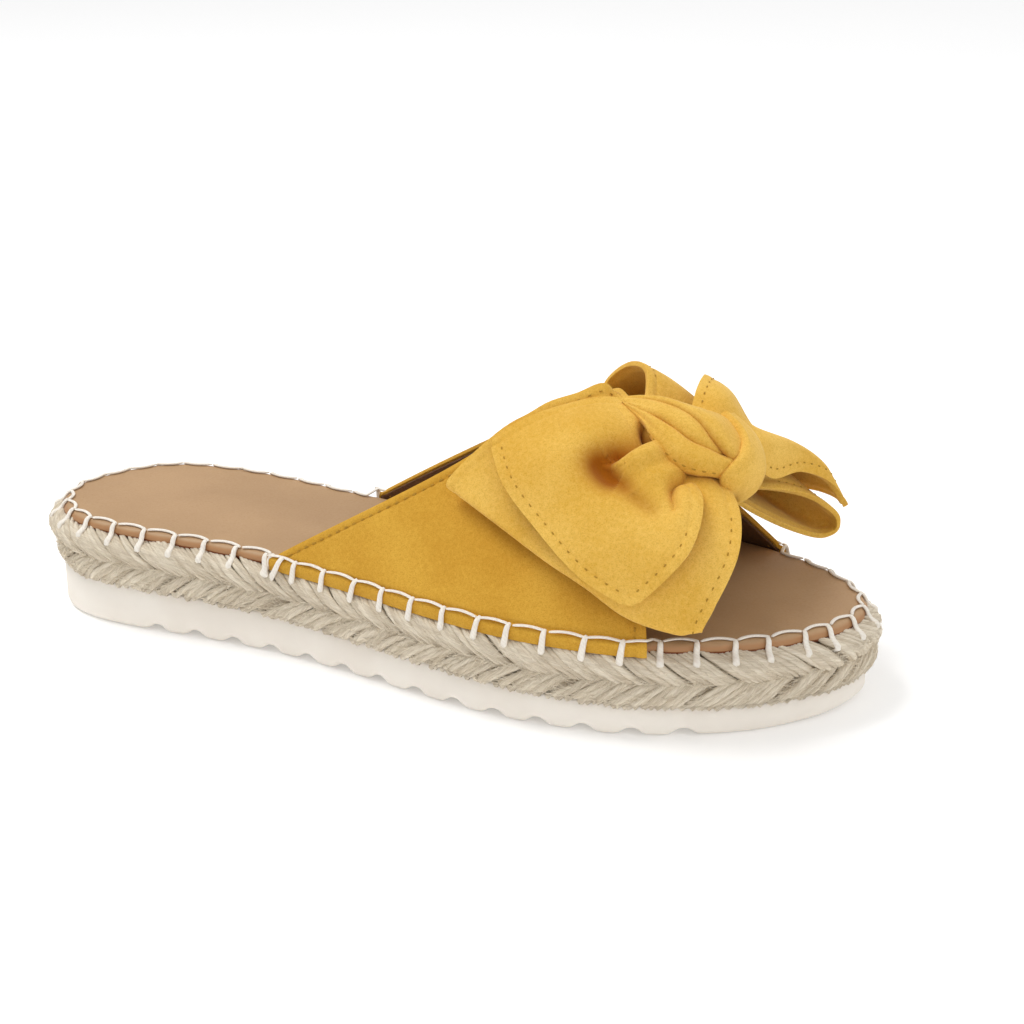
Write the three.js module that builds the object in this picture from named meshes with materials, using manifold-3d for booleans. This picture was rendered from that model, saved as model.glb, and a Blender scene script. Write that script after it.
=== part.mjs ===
// Right flat slide sandal: a ribbed foam outsole, a braided jute midsole, a wrapped insole,
// one broad suede band over the instep and a knotted ribbon bow on the band's crown.
// Millimetres. +X points to the toe, +Y to the medial side, +Z up from the floor.
// The origin is on the floor, under the middle of the sandal's box.

import * as THREE from "three";
import { mergeVertices } from "three/addons/utils/BufferGeometryUtils.js";
import Module from "manifold-3d";

const wasm = await Module();
wasm.setup();

// Driving dimensions

const SOLE_LENGTH = 262;
const HEEL_X = -SOLE_LENGTH / 2;
const OUTSOLE_HEEL = 15;
const OUTSOLE_TOE = 8;
const JUTE_HEIGHT = 15;
const INSOLE_HEIGHT = 3.5;
const BAND_WALL = 1.8;
const RIBBON_WALL = 1.6;
const FIT_GAP = 0.3;

// Plan outline of the jute midsole: how far it reaches to each side of the axis at each station.
const HEEL_TIP_Y = -7;
const TOE_TIP_Y = 11;
const OUTLINE = [
  { x: -128.5, lateral: 18.5, medial: 3.5 },
  { x: -123.5, lateral: 26.5, medial: 13.8 },
  { x: -115.5, lateral: 33, medial: 23.5 },
  { x: -105.5, lateral: 36.4, medial: 29 },
  { x: -94, lateral: 37.4, medial: 31.6 },
  { x: -80, lateral: 37.2, medial: 32.9 },
  { x: -65, lateral: 36.4, medial: 32.6 },
  { x: -40, lateral: 36.8, medial: 30.3 },
  { x: -13, lateral: 40.8, medial: 32 },
  { x: 13, lateral: 46, medial: 39.4 },
  { x: 39, lateral: 49.4, medial: 47 },
  { x: 60, lateral: 48.4, medial: 50 },
  { x: 78, lateral: 44.8, medial: 48.8 },
  { x: 95, lateral: 37, medial: 44.8 },
  { x: 108, lateral: 28.4, medial: 39.6 },
  { x: 118, lateral: 18.6, medial: 33.2 },
  { x: 126.5, lateral: 6.6, medial: 24 },
];

const outlineCurve = new THREE.CatmullRomCurve3(
  [
    new THREE.Vector3(HEEL_X, HEEL_TIP_Y, 0),
    ...OUTLINE.map((row) => new THREE.Vector3(row.x, -row.lateral, 0)),
    new THREE.Vector3(-HEEL_X, TOE_TIP_Y, 0),
    ...[...OUTLINE].reverse().map((row) => new THREE.Vector3(row.x, row.medial, 0)),
  ],
  true,
  "centripetal",
);
outlineCurve.arcLengthDivisions = 800;

// How strongly the layers draw in towards a tip: not along the sides, fully at the heel, less at the toe.
const END_ROUND = 32;
const TOE_SHARE = 0.4;
const endShare = (x) =>
  THREE.MathUtils.smoothstep(Math.abs(x), -HEEL_X - END_ROUND, -HEEL_X) * (x > 0 ? TOE_SHARE : 1);

// A point of the outline at a share of its length, counted from the heel along the lateral side,
// moved in towards the foot by inset, and by endInset more at the tips, and set at its height.
function outlinePoint(share, inset, endInset, heightAt) {
  const u = ((share % 1) + 1) % 1;
  const point = outlineCurve.getPointAt(u);
  const along = outlineCurve.getTangentAt(u);
  const move = inset + endInset * endShare(point.x);
  point.x -= along.y * move;
  point.y += along.x * move;
  point.z = heightAt(point.x);
  return point;
}

const OUTLINE_SAMPLES = outlineCurve.getSpacedPoints(600);

// The outline's reach to one side (-1 lateral, +1 medial) at a station along the axis.
function sideReach(x, side) {
  for (let i = 0; i < OUTLINE_SAMPLES.length - 1; i++) {
    const a = OUTLINE_SAMPLES[i];
    const b = OUTLINE_SAMPLES[i + 1];
    const onSide = side < 0 ? a.x <= x && x < b.x : b.x <= x && x < a.x;
    if (onSide) return THREE.MathUtils.mapLinear(x, a.x, b.x, a.y, b.y);
  }
  return 0;
}

// Heights of the layers: the whole sole is a low wedge, thicker under the heel.
const outsoleTop = (x) => THREE.MathUtils.mapLinear(x, HEEL_X, -HEEL_X, OUTSOLE_HEEL, OUTSOLE_TOE);
const juteTop = (x) => outsoleTop(x) + JUTE_HEIGHT;
const insoleTop = (x) => juteTop(x) + INSOLE_HEIGHT;

// Solid helpers

function geometryFrom(positions, triangles) {
  const geometry = new THREE.BufferGeometry();
  geometry.setAttribute("position", new THREE.Float32BufferAttribute(positions.flatMap((p) => p.toArray()), 3));
  geometry.setIndex(triangles);
  return geometry;
}

function solidFrom(geometry) {
  const bare = geometry.clone();
  bare.deleteAttribute("normal");
  bare.deleteAttribute("uv");
  const merged = mergeVertices(bare, 1e-4);
  return new wasm.Manifold(
    new wasm.Mesh({
      numProp: 3,
      vertProperties: new Float32Array(merged.attributes.position.array),
      triVerts: new Uint32Array(merged.index.array),
    }),
  );
}

function geometryOf(solid) {
  const mesh = solid.getMesh();
  const geometry = new THREE.BufferGeometry();
  geometry.setAttribute("position", new THREE.BufferAttribute(mesh.vertProperties, 3));
  geometry.setIndex(new THREE.BufferAttribute(mesh.triVerts, 1));
  geometry.computeVertexNormals();
  return geometry;
}

// Closed solid through rings of equal count, stacked upwards, each running lateral side first.
function ringStack(rings) {
  const count = rings[0].length;
  const triangles = [];
  for (let r = 0; r < rings.length - 1; r++) {
    for (let i = 0; i < count; i++) {
      const a = r * count + i;
      const b = r * count + ((i + 1) % count);
      triangles.push(a, b, b + count, a, b + count, a + count);
    }
  }
  const flat = (ring) => ring.map((p) => new THREE.Vector2(p.x, p.y));
  const topStart = (rings.length - 1) * count;
  for (const [a, b, c] of THREE.ShapeUtils.triangulateShape(flat(rings[0]), [])) triangles.push(a, c, b);
  for (const [a, b, c] of THREE.ShapeUtils.triangulateShape(flat(rings.at(-1)), [])) {
    triangles.push(topStart + a, topStart + b, topStart + c);
  }
  return geometryFrom(rings.flat(), triangles);
}

// Closed solid of a sheet: a grid of points given thickness along its own normals.
// grid[i][j] runs so that (next i) x (next j) points out of the front face.
function thickSheet(grid, frontOffset, backOffset) {
  const rows = grid.length;
  const columns = grid[0].length;
  const normalAt = (i, j) => {
    const alongI = grid[Math.min(i + 1, rows - 1)][j].clone().sub(grid[Math.max(i - 1, 0)][j]);
    const alongJ = grid[i][Math.min(j + 1, columns - 1)].clone().sub(grid[i][Math.max(j - 1, 0)]);
    return alongI.cross(alongJ).normalize();
  };
  const front = [];
  const back = [];
  for (let i = 0; i < rows; i++) {
    for (let j = 0; j < columns; j++) {
      const normal = normalAt(i, j);
      front.push(grid[i][j].clone().addScaledVector(normal, frontOffset));
      back.push(grid[i][j].clone().addScaledVector(normal, backOffset));
    }
  }
  const half = rows * columns;
  const at = (i, j) => i * columns + j;
  const triangles = [];
  const quad = (a, b, c, d) => triangles.push(a, b, c, a, c, d);
  for (let i = 0; i < rows - 1; i++) {
    for (let j = 0; j < columns - 1; j++) {
      quad(at(i, j), at(i + 1, j), at(i + 1, j + 1), at(i, j + 1));
      quad(half + at(i, j), half + at(i, j + 1), half + at(i + 1, j + 1), half + at(i + 1, j));
    }
  }
  const rim = [];
  for (let j = 0; j < columns - 1; j++) rim.push([0, j]);
  for (let i = 0; i < rows - 1; i++) rim.push([i, columns - 1]);
  for (let j = columns - 1; j > 0; j--) rim.push([rows - 1, j]);
  for (let i = rows - 1; i > 0; i--) rim.push([i, 0]);
  rim.forEach(([i, j], k) => {
    const [nextI, nextJ] = rim[(k + 1) % rim.length];
    const a = at(i, j);
    const b = at(nextI, nextJ);
    quad(a, b, half + b, half + a);
  });
  return geometryFrom([...front, ...back], triangles);
}

// Outsole: pale foam with round ribs straight across, plain under the heel and the toes.

const OUTSOLE_INSET = 3.4;
const RIB_COUNT = 13;
const RIB_PITCH = 13.2;
const FIRST_GROOVE_X = -82;
const GROOVE_DEPTH = 2.2;
const GROOVE_FLANK = 7;
const TOE_SPRING = 1.6;
const TOE_SPRING_FROM_X = 104;
const PLAN_STEPS = 72;

function outsoleProfile() {
  const reach = -HEEL_X + 10;
  const profile = new THREE.Shape();
  profile.moveTo(-reach, 0);
  profile.lineTo(FIRST_GROOVE_X - GROOVE_FLANK, 0);
  profile.quadraticCurveTo(FIRST_GROOVE_X - GROOVE_FLANK / 3, 0, FIRST_GROOVE_X, GROOVE_DEPTH);
  for (let rib = 0; rib < RIB_COUNT; rib++) {
    const end = FIRST_GROOVE_X + (rib + 1) * RIB_PITCH;
    profile.quadraticCurveTo(end - RIB_PITCH / 2, -GROOVE_DEPTH, end, GROOVE_DEPTH);
  }
  const lastGroove = FIRST_GROOVE_X + RIB_COUNT * RIB_PITCH;
  profile.quadraticCurveTo(lastGroove + GROOVE_FLANK / 3, 0, lastGroove + GROOVE_FLANK, 0);
  profile.lineTo(TOE_SPRING_FROM_X, 0);
  profile.quadraticCurveTo(-HEEL_X - 10, 0, -HEEL_X, TOE_SPRING);
  profile.lineTo(reach, TOE_SPRING + 1);
  profile.lineTo(reach, outsoleTop(reach));
  profile.lineTo(-reach, outsoleTop(-reach));
  return profile;
}

function outsole() {
  const tallest = OUTSOLE_HEEL + 5;
  const ring = (z) =>
    Array.from({ length: PLAN_STEPS }, (_, i) => outlinePoint(i / PLAN_STEPS, OUTSOLE_INSET, 0, () => z));
  const plan = solidFrom(ringStack([ring(-1), ring(tallest)]));
  const width = 120;
  const bar = new THREE.ExtrudeGeometry(outsoleProfile(), { depth: width, bevelEnabled: false, curveSegments: 6 });
  bar.rotateX(Math.PI / 2).translate(0, width / 2, 0);
  return geometryOf(plan.intersect(solidFrom(bar)));
}

// Jute midsole: two rows of plaited strands lean out towards the top and meet in a groove,
// so that the plait reads as arrowheads pointing to the toe on the lateral side.

const STRAND_COUNT = 46;
const STRAND_COLUMNS = 4;
const STRAND_SLANT = 1.1;
const JUTE_PROFILE = [
  { height: 0, inset: 2.4, endInset: 1.8, slant: 0, relief: 0.2 },
  { height: 0.1, inset: 1.6, endInset: 1.6, slant: 0.25, relief: 0.7 },
  { height: 0.27, inset: 1.1, endInset: 1.3, slant: 0.6, relief: 1 },
  { height: 0.45, inset: 1.8, endInset: 1, slant: 1, relief: 0.5 },
  { height: 0.6, inset: 0.7, endInset: 0.6, slant: 0.75, relief: 0.9 },
  { height: 0.78, inset: 0, endInset: 0.2, slant: 0.4, relief: 1 },
  { height: 0.93, inset: 0.7, endInset: 0, slant: 0.1, relief: 0.6 },
  { height: 1, inset: 2.2, endInset: 0, slant: 0, relief: 0.2 },
];
const STRAND_RELIEF = 0.8;

function juteMidsole() {
  const columns = STRAND_COUNT * STRAND_COLUMNS;
  const rings = JUTE_PROFILE.map((row) =>
    Array.from({ length: columns }, (_, i) => {
      const strand = i / STRAND_COLUMNS;
      const share = (strand + row.slant * STRAND_SLANT) / STRAND_COUNT;
      const valley = (1 + Math.cos(2 * Math.PI * strand)) / 2;
      const lift = THREE.MathUtils.lerp(FIT_GAP, JUTE_HEIGHT, row.height);
      const inset = row.inset + STRAND_RELIEF * row.relief * valley;
      return outlinePoint(share, inset, row.endInset, (x) => outsoleTop(x) + lift);
    }),
  );
  return ringStack(rings);
}

// Insole: a leather-covered board with a rolled edge, set in from the jute.

const INSOLE_PROFILE = [
  { height: FIT_GAP, inset: 4.2, endInset: 0.2 },
  { height: 1, inset: 3.6, endInset: 0.4 },
  { height: 2.3, inset: 3.6, endInset: 0.8 },
  { height: 3.1, inset: 4.2, endInset: 1.2 },
  { height: INSOLE_HEIGHT, inset: 5.4, endInset: 1.4 },
];
const INSOLE_STEPS = 96;

function insole() {
  return ringStack(
    INSOLE_PROFILE.map((row) =>
      Array.from({ length: INSOLE_STEPS }, (_, i) =>
        outlinePoint(i / INSOLE_STEPS, row.inset, row.endInset, (x) => juteTop(x) + row.height),
      ),
    ),
  );
}

// Band: one wall of lined suede, arched over the instep, open to the toe, the heel and the foot.
// across runs from -1 at the lateral foot of the arch over 0 at its crown to +1 at the medial foot.

const BAND_INSET = 1.4;
const CROWN_REAR = { x: 15, z: 68 };
const CROWN_FRONT = { x: 85, z: 58 };
const ARCH_POWER = 2;
const REAR_EDGE = { crown: 19, lateral: -40, medial: -37, power: 2.3 };
const FRONT_EDGE = { crown: 74, lateral: 81, medial: 92.5, power: 3 };
const BAND_ACROSS = [-1, -0.93, -0.84, -0.74, -0.62, -0.48, -0.32, -0.16, 0, 0.16, 0.32, 0.48, 0.62, 0.74, 0.84, 0.93, 1];
const BAND_STEPS = 12;

const crownHeight = (x) => THREE.MathUtils.mapLinear(x, CROWN_REAR.x, CROWN_FRONT.x, CROWN_REAR.z, CROWN_FRONT.z);

function bandEdge(edge, across) {
  const foot = across < 0 ? edge.lateral : edge.medial;
  return edge.crown + (foot - edge.crown) * Math.abs(across) ** edge.power;
}

function bandPoint(x, across) {
  const lateral = sideReach(x, -1) + BAND_INSET;
  const medial = sideReach(x, 1) - BAND_INSET;
  const foot = insoleTop(x);
  const y = (lateral + medial) / 2 + ((medial - lateral) / 2) * across;
  return new THREE.Vector3(x, y, foot + (crownHeight(x) - foot) * (1 - Math.abs(across) ** ARCH_POWER));
}

// The band with its faces moved out and in from its outer surface and its two open edges moved
// out by edgeReach. Its feet stand on the jute.
function band(outer, inner, edgeReach) {
  const row = (across, onFoot) =>
    Array.from({ length: BAND_STEPS + 1 }, (_, i) => {
      const rear = bandEdge(REAR_EDGE, across) - edgeReach;
      const front = bandEdge(FRONT_EDGE, across) + edgeReach;
      const x = THREE.MathUtils.lerp(rear, front, i / BAND_STEPS);
      const point = bandPoint(x, across);
      if (onFoot) point.z = juteTop(x) + FIT_GAP;
      return point;
    });
  const grid = [row(-1, true), ...BAND_ACROSS.map((across) => row(across, false)), row(1, true)];
  return thickSheet(grid.reverse(), outer, inner);
}

// Knot: soft strands wrapped from the rear over the crown to the band's front edge.
// Each strand is a run of round sections with its own half width and half thickness.

const KNOT_SIDES = 12;
const KNOT_CORE = { x: 78, y: -1, z: 69, halfLength: 17, halfWidth: 14, halfHeight: 11 };
const KNOT_STRANDS = [
  [
    { x: 61, y: -6, z: 81, half: 4, thick: 4 },
    { x: 68, y: -10, z: 82, half: 7, thick: 5 },
    { x: 79, y: -12, z: 78, half: 9, thick: 6 },
    { x: 89, y: -11, z: 73, half: 8, thick: 6 },
    { x: 95, y: -8, z: 69, half: 5, thick: 4 },
  ],
  [
    { x: 58, y: 0, z: 80, half: 5, thick: 4 },
    { x: 68, y: -1, z: 80, half: 8, thick: 5 },
    { x: 80, y: 2, z: 78, half: 9, thick: 6 },
    { x: 91, y: 2, z: 72, half: 9, thick: 6 },
    { x: 93, y: 0, z: 62, half: 8, thick: 5 },
    { x: 89, y: -2, z: 57, half: 6, thick: 4 },
  ],
  [
    { x: 60, y: 5, z: 75, half: 5, thick: 5 },
    { x: 72, y: 9, z: 75, half: 7, thick: 6 },
    { x: 84, y: 9, z: 71, half: 7, thick: 6 },
    { x: 91, y: 6, z: 63, half: 6, thick: 5 },
  ],
];

function strand(rows, swell) {
  const path = new THREE.CatmullRomCurve3(rows.map((row) => new THREE.Vector3(row.x, row.y, row.z)));
  const sideways = new THREE.Vector3(0, 1, 0);
  const rings = rows.map((row, k) => {
    const along = path.getTangent(k / (rows.length - 1));
    const up = along.clone().cross(sideways).normalize();
    const across = up.clone().cross(along).normalize();
    const endSwell = k === 0 ? -swell : k === rows.length - 1 ? swell : 0;
    const centre = new THREE.Vector3(row.x, row.y, row.z).addScaledVector(along, endSwell);
    return Array.from({ length: KNOT_SIDES }, (_, i) => {
      const angle = (2 * Math.PI * i) / KNOT_SIDES;
      return centre
        .clone()
        .addScaledVector(across, (row.half + swell) * Math.cos(angle))
        .addScaledVector(up, (row.thick + swell) * Math.sin(angle));
    });
  });
  const triangles = [];
  for (let r = 0; r < rings.length - 1; r++) {
    for (let i = 0; i < KNOT_SIDES; i++) {
      const a = r * KNOT_SIDES + i;
      const b = r * KNOT_SIDES + ((i + 1) % KNOT_SIDES);
      triangles.push(a, b, b + KNOT_SIDES, a, b + KNOT_SIDES, a + KNOT_SIDES);
    }
  }
  const last = (rings.length - 1) * KNOT_SIDES;
  for (let i = 1; i < KNOT_SIDES - 1; i++) {
    triangles.push(0, i + 1, i);
    triangles.push(last, last + i, last + i + 1);
  }
  return solidFrom(geometryFrom(rings.flat(), triangles));
}

function knotSolid(swell) {
  const core = new THREE.SphereGeometry(1, 18, 12);
  core.scale(KNOT_CORE.halfLength + swell, KNOT_CORE.halfWidth + swell, KNOT_CORE.halfHeight + swell);
  core.translate(KNOT_CORE.x, KNOT_CORE.y, KNOT_CORE.z);
  const lump = KNOT_STRANDS.reduce((sum, rows) => sum.add(strand(rows, swell)), solidFrom(core));
  return lump.subtract(solidFrom(band(FIT_GAP, -KNOT_CORE.halfHeight, FIT_GAP)));
}

// Bow: on each side a tail lies over a loop. Both fan out from the knot, rear side edge first.
// A tail runs knot, mid, end. A loop goes on round its fold and back under: back, under.

const LATERAL_TAIL = [
  { knot: [61, -6, 80], mid: [43, -17, 82], end: [26, -28, 75] },
  { knot: [67, -12, 78], mid: [52, -27, 76], end: [37, -38, 66] },
  { knot: [76, -14, 75], mid: [66, -31, 70], end: [51, -43, 54] },
  { knot: [85, -14, 72], mid: [81, -34, 64], end: [67, -46, 44] },
  { knot: [89, -13, 69], mid: [93, -33, 62], end: [78, -46, 39] },
];
const LATERAL_LOOP = [
  { knot: [57, -2, 75], mid: [38, -10, 77], end: [14, -28, 60], back: [31, -19, 65], under: [54, -4, 67] },
  { knot: [64, -8, 70], mid: [50, -25, 66], end: [34, -35, 54], back: [48, -26, 58], under: [62, -8, 65] },
  { knot: [74, -11, 67], mid: [66, -31, 58], end: [54, -40, 46], back: [64, -31, 50], under: [73, -11, 62] },
  { knot: [84, -11, 64], mid: [83, -34, 52], end: [75, -42, 36], back: [80, -34, 44], under: [83, -11, 60] },
  { knot: [91, -9, 62], mid: [101, -30, 54], end: [94, -38, 31], back: [97, -31, 41], under: [90, -9, 58] },
];
const MEDIAL_TAIL = [
  { knot: [58, 3, 79], mid: [45, 21, 84], end: [34, 33, 75] },
  { knot: [64, 9, 77], mid: [57, 26, 85], end: [50, 39, 71] },
  { knot: [74, 11, 75], mid: [73, 29, 81], end: [72, 44, 63] },
  { knot: [84, 11, 70], mid: [88, 28, 67], end: [95, 45, 53] },
  { knot: [90, 9, 66], mid: [101, 32, 58], end: [112, 45, 46] },
];
const MEDIAL_LOOP = [
  { knot: [58, 4, 73], mid: [43, 23, 73], end: [30, 36, 61], back: [40, 25, 63], under: [56, 5, 68] },
  { knot: [65, 9, 69], mid: [57, 27, 70], end: [49, 42, 57], back: [56, 29, 58], under: [63, 8, 65] },
  { knot: [74, 11, 66], mid: [74, 31, 65], end: [73, 47, 49], back: [73, 33, 51], under: [73, 10, 62] },
  { knot: [84, 10, 63], mid: [88, 32, 54], end: [94, 47, 39], back: [88, 34, 46], under: [83, 9, 59] },
  { knot: [89, 7, 60], mid: [101, 30, 49], end: [109, 45, 35], back: [99, 31, 40], under: [88, 6, 56] },
];
const FOLD_HEIGHT = 4.4;
const RIBBON_ACROSS = 10;
const TAIL_STEPS = 9;
const LOOP_STEPS = 20;

// The run of one ribbon section. A loop's fold is rounded between its upper and lower ply.
function ribbonRun(row) {
  const at = (name) => new THREE.Vector3(...row[name]);
  if (!row.back) return [at("knot"), at("mid"), at("end")];
  const ply = at("mid").sub(at("back")).normalize().multiplyScalar(FOLD_HEIGHT / 2);
  const middle = at("mid").add(at("back")).multiplyScalar(0.5);
  const out = at("end").sub(middle).normalize().multiplyScalar(FOLD_HEIGHT / 2);
  const end = at("end").sub(out);
  return [at("knot"), at("mid"), end.clone().add(ply), at("end"), end.clone().sub(ply), at("back"), at("under")];
}

function ribbon(table, steps, frontUp) {
  const runs = table.map((row) => new THREE.CatmullRomCurve3(ribbonRun(row), false, "centripetal"));
  const lines = Array.from({ length: steps + 1 }, (_, i) => {
    const across = new THREE.CatmullRomCurve3(runs.map((run) => run.getPointAt(i / steps)), false, "centripetal");
    return Array.from({ length: RIBBON_ACROSS + 1 }, (_, j) => across.getPoint(j / RIBBON_ACROSS));
  });
  if (frontUp) lines.reverse();
  return solidFrom(thickSheet(lines, RIBBON_WALL / 2, -RIBBON_WALL / 2));
}

const knotClearance = knotSolid(FIT_GAP);

// The largest piece that is left of a ribbon once the knot, with its gap, is taken out of it.
function ribbonToKnot(table, steps, frontUp) {
  const pieces = ribbon(table, steps, frontUp).subtract(knotClearance).decompose();
  return pieces.reduce((largest, piece) => (piece.volume() > largest.volume() ? piece : largest));
}

// Finishes

const finish = (color, roughness) => new THREE.MeshStandardMaterial({ color, roughness, metalness: 0 });
const foam = finish(0xece4dc, 0.55);
const jute = finish(0xcdc0a8, 0.95);
const leather = finish(0xc39c73, 0.6);
const suede = finish(0xe0ab45, 0.9);

// Assembly

const sandal = new THREE.Group();

function add(name, geometry, material) {
  const mesh = new THREE.Mesh(geometry, material);
  mesh.name = name;
  sandal.add(mesh);
}

add("outsole", outsole(), foam);
add("jute_midsole", juteMidsole(), jute);
add("insole", insole(), leather);
add("band", band(0, -BAND_WALL, 0), suede);
add("bow_knot", geometryOf(knotSolid(0)), suede);
add("bow_tail_lateral", geometryOf(ribbonToKnot(LATERAL_TAIL, TAIL_STEPS, true)), suede);
add("bow_loop_lateral", geometryOf(ribbonToKnot(LATERAL_LOOP, LOOP_STEPS, true)), suede);
add("bow_tail_medial", geometryOf(ribbonToKnot(MEDIAL_TAIL, TAIL_STEPS, false)), suede);
add("bow_loop_medial", geometryOf(ribbonToKnot(MEDIAL_LOOP, LOOP_STEPS, false)), suede);

export default sandal;
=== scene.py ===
import math
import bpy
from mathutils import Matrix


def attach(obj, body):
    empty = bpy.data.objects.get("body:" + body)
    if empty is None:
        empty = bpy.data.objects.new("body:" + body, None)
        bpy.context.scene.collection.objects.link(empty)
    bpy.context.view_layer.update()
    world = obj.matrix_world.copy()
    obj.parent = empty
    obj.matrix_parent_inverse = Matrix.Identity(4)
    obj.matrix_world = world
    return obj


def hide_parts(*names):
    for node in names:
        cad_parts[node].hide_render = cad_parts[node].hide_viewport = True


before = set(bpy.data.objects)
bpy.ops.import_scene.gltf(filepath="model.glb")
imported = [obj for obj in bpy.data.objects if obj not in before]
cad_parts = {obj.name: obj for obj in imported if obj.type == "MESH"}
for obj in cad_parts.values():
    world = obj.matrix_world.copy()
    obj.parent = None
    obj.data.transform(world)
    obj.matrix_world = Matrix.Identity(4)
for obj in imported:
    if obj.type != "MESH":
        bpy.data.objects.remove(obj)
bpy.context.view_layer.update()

from types import SimpleNamespace
import bpy
import numpy as np
from mathutils.kdtree import KDTree


# Studio. The sandal stands on a plain pale floor in white surroundings, under one very broad soft lamp, with
# a smaller one on the heel's side and a weak one at the toe. The camera has the photograph's view.
CAMERA_PLACE = (0.26979, -0.55017, 0.26735)
CAMERA_TILT, CAMERA_TURN = math.radians(69.642), math.radians(24.236)
LENS, SENSOR = 76.88, 36
LAMPS = (
    # name, place, size, power
    ("lamp_overhead", (0.4, 0.3, 2.6), 9.0, 156),
    ("lamp_heel_side", (-0.55, -0.1, 1.2), 0.6, 7.5),
    ("lamp_toe_side", (0.7, -0.8, 0.6), 0.9, 1.2),
)
LOW_SKY, HIGH_SKY, SKY_CHANGE = (0.95, 0.95, 0.95, 1), (0.28, 0.28, 0.28, 1), 0.25
FLOOR_SIZE, FLOOR_DROP = 6.0, 0.0003

scene = bpy.context.scene
scene.view_settings.view_transform = "Standard"
bpy.ops.object.select_all(action="DESELECT")
bpy.ops.object.camera_add(location=CAMERA_PLACE, rotation=(CAMERA_TILT, 0, CAMERA_TURN))
scene.camera = bpy.context.object
scene.camera.data.sensor_width, scene.camera.data.lens = SENSOR, LENS
for name, place, size, power in LAMPS:
    bpy.ops.object.light_add(type="AREA", location=place)
    lamp = bpy.context.object
    lamp.name = name
    lamp.data.size, lamp.data.energy = size, power
    lamp.rotation_euler = (-lamp.location).to_track_quat("-Z", "Y").to_euler()


class Tone:
    """A value, colour or vector in a finish. Sums and products of values become Math nodes."""

    def __init__(self, tree, socket=None):
        self.tree = tree
        self.socket = socket

    def node(self, kind, settings, sockets, output=0):
        """Adds any node: its settings first, then the values or links of its sockets."""
        made = self.tree.nodes.new(kind)
        for name, value in settings.items():
            setattr(made, name, value)
        for name, value in sockets.items():
            if isinstance(value, Tone):
                self.tree.links.new(value.socket, made.inputs[name])
            else:
                made.inputs[name].default_value = value
        return Tone(self.tree, made.outputs[output])

    def math(self, operation, first, second=0.0):
        return self.node("ShaderNodeMath", {"operation": operation}, {0: first, 1: second})

    def parts(self):
        """The three numbers of a vector."""
        split = self.node("ShaderNodeSeparateXYZ", {}, {0: self})
        return [Tone(self.tree, socket) for socket in split.socket.node.outputs]

    def __add__(self, other):
        return self.math("ADD", self, other)

    def __sub__(self, other):
        return self.math("SUBTRACT", self, other)

    def __mul__(self, other):
        return self.math("MULTIPLY", self, other)

    def __truediv__(self, other):
        return self.math("DIVIDE", self, other)


def new_finish(name, constants):
    """A material with its constant values set, its shader, and the place on the object."""
    material = bpy.data.materials.new(name)
    material.use_nodes = True
    shader = material.node_tree.nodes["Principled BSDF"]
    for socket, value in constants.items():
        shader.inputs[socket].default_value = value
    return material, shader, Tone(material.node_tree).node("ShaderNodeTexCoord", {}, {}, "Object")


def noise(place, scale, detail=2.0, roughness=0.5):
    sockets = {"Vector": place, "Scale": scale, "Detail": detail, "Roughness": roughness}
    return place.node("ShaderNodeTexNoise", {}, sockets)


def spread(value, low, high, to_low=0.0, to_high=1.0):
    """The value's range from low to high, eased into another range."""
    sockets = {0: value, 1: low, 2: high, 3: to_low, 4: to_high}
    return value.node("ShaderNodeMapRange", {"interpolation_type": "SMOOTHSTEP"}, sockets)


def mixed(share, first, second):
    """The first colour going over to the second, by the colour sockets of a Mix node."""
    return share.node("ShaderNodeMix", {"data_type": "RGBA"}, {0: share, 6: first, 7: second}, 2)


def raised(height, depth, strength):
    """A relief of that depth in metres."""
    return height.node("ShaderNodeBump", {}, {"Strength": strength, "Distance": depth, "Height": height})


def wear(shader, colour, roughness=None, normal=None):
    """Links what varies over the surface to the shader."""
    for socket, tone in (("Base Color", colour), ("Roughness", roughness), ("Normal", normal)):
        if tone:
            tone.tree.links.new(tone.socket, shader.inputs[socket])


room = bpy.data.worlds.new("white_room")
room.use_nodes = True
scene.world = room
height = Tone(room.node_tree).node("ShaderNodeTexCoord", {}, {}, "Generated").parts()[2]
sky = mixed(spread(height, 0.0, SKY_CHANGE), LOW_SKY, HIGH_SKY)
room.node_tree.links.new(sky.socket, room.node_tree.nodes["Background"].inputs["Color"])

floor_paint, shader, place = new_finish(
    "floor_paint",
    {"Roughness": 0.9, "Specular IOR Level": 0.1, "Emission Color": (1, 1, 1, 1), "Emission Strength": 0.15},
)
wear(shader, mixed(noise(place, 3.0), (0.96, 0.96, 0.96, 1), (0.98, 0.98, 0.98, 1)))
bpy.ops.mesh.primitive_plane_add(size=FLOOR_SIZE, location=(0, 0, -FLOOR_DROP))
floor = bpy.context.object
floor.name = "floor"
floor.data.materials.append(floor_paint)


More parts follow.
